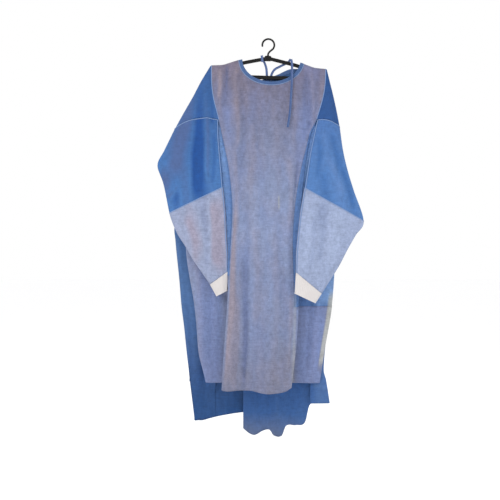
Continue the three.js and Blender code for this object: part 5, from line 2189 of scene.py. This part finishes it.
@dataclass
class Hanger:
    """Moulded hanger: two arms, a bar, a boss and a hook, fused in one piece."""

    span: float = 412.0
    arm_height: float = 13.0
    arm_thickness: float = 7.0
    bar_height: float = 14.0
    bar_thickness: float = 8.0
    bar_z: float = -141.0
    bar_span: float = 372.0
    wire: float = 7.0
    rail_radius: float = 19.0
    boss_width: float = 26.0
    boss_height: float = 20.0
    boss_z: float = -69.5
    cloth_over_arm: float = 8.0
    channel: float = 1.3

    def arm_line(self, x: Array) -> Array:
        """Height of an arm's middle at a distance from the hanger's middle."""
        return SHOULDER.profile(np.abs(x))["z"] - self.cloth_over_arm - self.arm_height / 2

    def outline(self, height: float, thickness: float, channel: float, count: int = 32) -> Array:
        """Section of a moulded bar: rounded corners and a shallow channel in each face."""
        turn = np.linspace(0, 2 * math.pi, count, endpoint=False)
        up = np.sign(np.sin(turn)) * np.abs(np.sin(turn)) ** 0.55
        across = np.sign(np.cos(turn)) * np.abs(np.cos(turn)) ** 0.4
        dent = channel * smooth((0.62 - np.abs(up)) / 0.25)
        side = across * thickness / 2 - np.sign(across) * dent * (np.abs(across) > 0.5)
        return np.stack([side, up * height / 2], axis=1)

    def rod(self, route: Array, outline: Array) -> Shape:
        """A bar of the hanger along a route in the XZ plane, tilted as it hangs.

        Args:
            route: x and z of each point, in millimetres.
            outline: the bar's section, or one for each point.

        Returns:
            The bar.
        """
        path = np.stack([route[:, 0], np.zeros(len(route)), route[:, 1]], axis=1)
        along = np.gradient(path, axis=0)
        along /= np.linalg.norm(along, axis=1, keepdims=True)
        across = np.broadcast_to(np.array([0.0, 1.0, 0.0]), path.shape)
        up = np.stack([-along[:, 2], np.zeros(len(path)), along[:, 0]], axis=1)
        shape = tube(path, across, up, outline)
        turn = SHOULDER.tilt
        x, z = shape.vertices[:, 0].copy(), shape.vertices[:, 2].copy()
        shape.vertices[:, 0] = x * math.cos(turn) + z * math.sin(turn)
        shape.vertices[:, 2] = z * math.cos(turn) - x * math.sin(turn)
        return shape

    def arm(self, sign: int) -> Shape:
        """One arm, running into the boss and rounded off at its tip."""
        reach = self.span / 2
        x = np.concatenate([np.linspace(4, reach - 6, 60), reach - 6 + 6 * np.sin(np.linspace(0.12, 1, 9) * math.pi / 2)])
        tip = np.sqrt(np.clip(1 - np.clip((x - reach + 6) / 6, 0, 1) ** 2, 0.02, 1))
        ring = self.outline(self.arm_height, self.arm_thickness, self.channel)
        near = smooth((x - 16) / 14) * smooth((reach - 10 - x) / 8)
        plain = self.outline(self.arm_height, self.arm_thickness, 0.0)
        rings = lerp(plain[None], ring[None], near[:, None, None]) * tip[:, None, None]
        route = np.stack([sign * x, self.arm_line(x)], axis=1)
        if sign < 0:
            rings = rings[:, ::-1]
        return self.rod(route, rings)

    def bar(self) -> Shape:
        """The trouser bar, rising to the arms at its ends."""
        end = self.bar_span / 2
        under = float(self.arm_line(end)) - self.arm_height / 2 + 2.0
        half = [
            (end + 1, under), (end + 0.8, -122), (end - 0.5, -128), (end - 3.5, -133.5),
            (end - 8.5, -137.4), (end - 15, -139.9), (end - 22, self.bar_z),
        ]
        level = [(x, self.bar_z) for x in np.linspace(end - 40, -end + 40, 24)]
        route = np.array([(-x, z) for x, z in half] + [(-x, z) for x, z in level] + half[::-1])
        ring = self.outline(self.bar_height, self.bar_thickness, self.channel)
        return self.rod(route, ring)

    def hook(self) -> Shape:
        """The stem and the round hook, with a rounded tip."""
        radius = self.rail_radius + self.wire / 2
        angles = np.radians(np.linspace(-40, 190, 60))
        arc = np.stack([radius * np.cos(angles), radius * np.sin(angles) - self.rail_radius], axis=1)
        knee = np.array([(0, -64), (0, -59), (0.1, -54), (1.2, -49.5), (4.6, -44.8), (9.0, -40.6)])
        last = arc[-1] - arc[-2]
        tip = arc[-1] + np.linspace(0.3, 1.0, 5)[:, None] * last / np.linalg.norm(last) * self.wire / 2
        route = np.concatenate([knee, arc, tip])
        turn = np.linspace(0, 2 * math.pi, 24, endpoint=False)
        ring = np.stack([np.cos(turn), np.sin(turn)], axis=1) * self.wire / 2
        rings = np.broadcast_to(ring, (len(route), 24, 2)).copy()
        closing = np.sqrt(np.clip(1 - np.linspace(0.3, 1.0, 5) ** 2, 0.01, 1))
        rings[-5:] *= closing[:, None, None]
        return self.rod(route, rings)

    def boss(self) -> Shape:
        """The block that joins the arms and the hook, with rounded ends."""
        half = self.boss_width / 2
        share = np.sin(np.linspace(-1, 1, 25) * math.pi / 2)
        route = np.stack([share * half, np.full(25, self.boss_z)], axis=1)
        size = np.clip(1 - np.abs(share) ** 8, 0.03, 1) ** 0.35
        ring = self.outline(self.boss_height, self.arm_thickness + 2, 0.0)
        return self.rod(route, ring[None] * size[:, None, None])

    def collar(self) -> Shape:
        """The ring under the hook's stem."""
        share = np.linspace(-1, 1, 9)
        route = np.stack([np.zeros(9), -59.6 + share * 1.8], axis=1)
        turn = np.linspace(0, 2 * math.pi, 24, endpoint=False)
        ring = np.stack([np.cos(turn), np.sin(turn)], axis=1) * 5.2
        size = np.sqrt(np.clip(1 - share**4, 0.05, 1))
        return self.rod(route, ring[None] * size[:, None, None])

    def build(self) -> None:
        """Make the hanger as one moulding."""
        shape = self.boss()
        for part in (self.arm(-1), self.arm(1), self.bar(), self.hook(), self.collar()):
            shape = shape.joined(part)
        nodes = ["hanger_arm_right", "hanger_arm_left", "hanger_bar", "hanger_hook", "hanger_boss"]
        piece = place_piece("hanger_moulding", shape, BLACK_PLASTIC, nodes)
        log.info("hanger box %s", [round(v, 3) for v in piece.dimensions])


@dataclass
class Studio:
    """Pale floor, soft lights and the camera at the photograph's angle."""

    camera_x: float = -69.2
    camera_z: float = -785.4
    distance: float = 3000.0
    lens: float = 57.75
    floor_z: float = -1640.0
    floor_size: float = 40000.0
    ambient: float = 1.0

    def build(self) -> None:
        """Set up the camera, the floor, the world and the lights."""
        data = bpy.data.cameras.new("photo_camera")
        data.lens = self.lens
        data.sensor_width = 36.0
        camera = bpy.data.objects.new("photo_camera", data)
        camera.location = (self.camera_x * MM, -self.distance * MM, self.camera_z * MM)
        camera.rotation_euler = (math.pi / 2, 0.0, 0.0)
        bpy.context.scene.collection.objects.link(camera)
        bpy.context.scene.camera = camera
        self.floor()
        self.world()
        self.light("key", (-1.7, -2.6, 1.1), 2.0, 40.0, (1.0, 0.97, 0.94))
        self.light("fill", (2.4, -2.2, -0.3), 2.4, 10.0, (0.94, 0.97, 1.0))
        self.light("back", (0.6, 2.6, 0.8), 2.0, 20.0, (1.0, 1.0, 1.0))
        bpy.context.scene.view_settings.view_transform = "Standard"

    def floor(self) -> None:
        """Lay the floor below the hem."""
        half = self.floor_size * MM / 2
        z = self.floor_z * MM
        mesh = bpy.data.meshes.new("studio_floor")
        corners = [(-half, -half, z), (half, -half, z), (half, half, z), (-half, half, z)]
        mesh.from_pydata(corners, [], [(0, 1, 2, 3)])
        mesh.materials.append(WARDROBE.get(FloorFinish()))
        floor = bpy.data.objects.new("studio_floor", mesh)
        bpy.context.scene.collection.objects.link(floor)

    def world(self) -> None:
        """Light the scene evenly from all round."""
        world = bpy.data.worlds.new("studio")
        world.use_nodes = True
        background = world.node_tree.nodes["Background"]
        background.inputs["Color"].default_value = (1.0, 1.0, 1.0, 1.0)
        background.inputs["Strength"].default_value = self.ambient
        bpy.context.scene.world = world

    def light(
        self,
        name: str,
        place: tuple[float, float, float],
        size: float,
        power: float,
        colour: tuple[float, float, float],
    ) -> None:
        """Hang a soft lamp that faces the gown.

        Args:
            name: name of the lamp.
            place: its place, in metres.
            size: side of the lamp, in metres.
            power: power, in watts.
            colour: colour of the light.
        """
        data = bpy.data.lights.new(name, "AREA")
        data.size = size
        data.energy = power
        data.color = colour
        lamp = bpy.data.objects.new(name, data)
        lamp.location = place
        aim = np.array([0.0, 0.0, self.camera_z * MM]) - np.array(place)
        flat = math.hypot(aim[0], aim[1])
        lamp.rotation_euler = (math.pi / 2 + math.atan2(aim[2], flat), 0.0, math.atan2(-aim[0], aim[1]))
        bpy.context.scene.collection.objects.link(lamp)


def write_sizes() -> None:
    """Update the view layer."""
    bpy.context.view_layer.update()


def main() -> None:
    """Build the studio, the hanger and the gown, in that order."""
    logging.basicConfig(level=logging.INFO, format="%(name)s %(message)s")
    Studio().build()
    Hanger().build()
    front = FrontPanel()
    front_sheet = front.build()
    bindings = NeckBindings()
    bindings.front(front)
    for wing, sleeve in zip(WINGS, SLEEVES):
        wing_sheet = wing.build(front)
        bindings.wing(wing, wing_sheet)
        right = wing.side is Side.RIGHT
        column = front.strip_columns[0 if right else 1]
        sleeve.build(front_sheet, wing_sheet, column, wing.side_steps * wing.fine)
    for tie in TIES:
        tie.build()
    write_sizes()


if __name__ == "__main__":
    main()
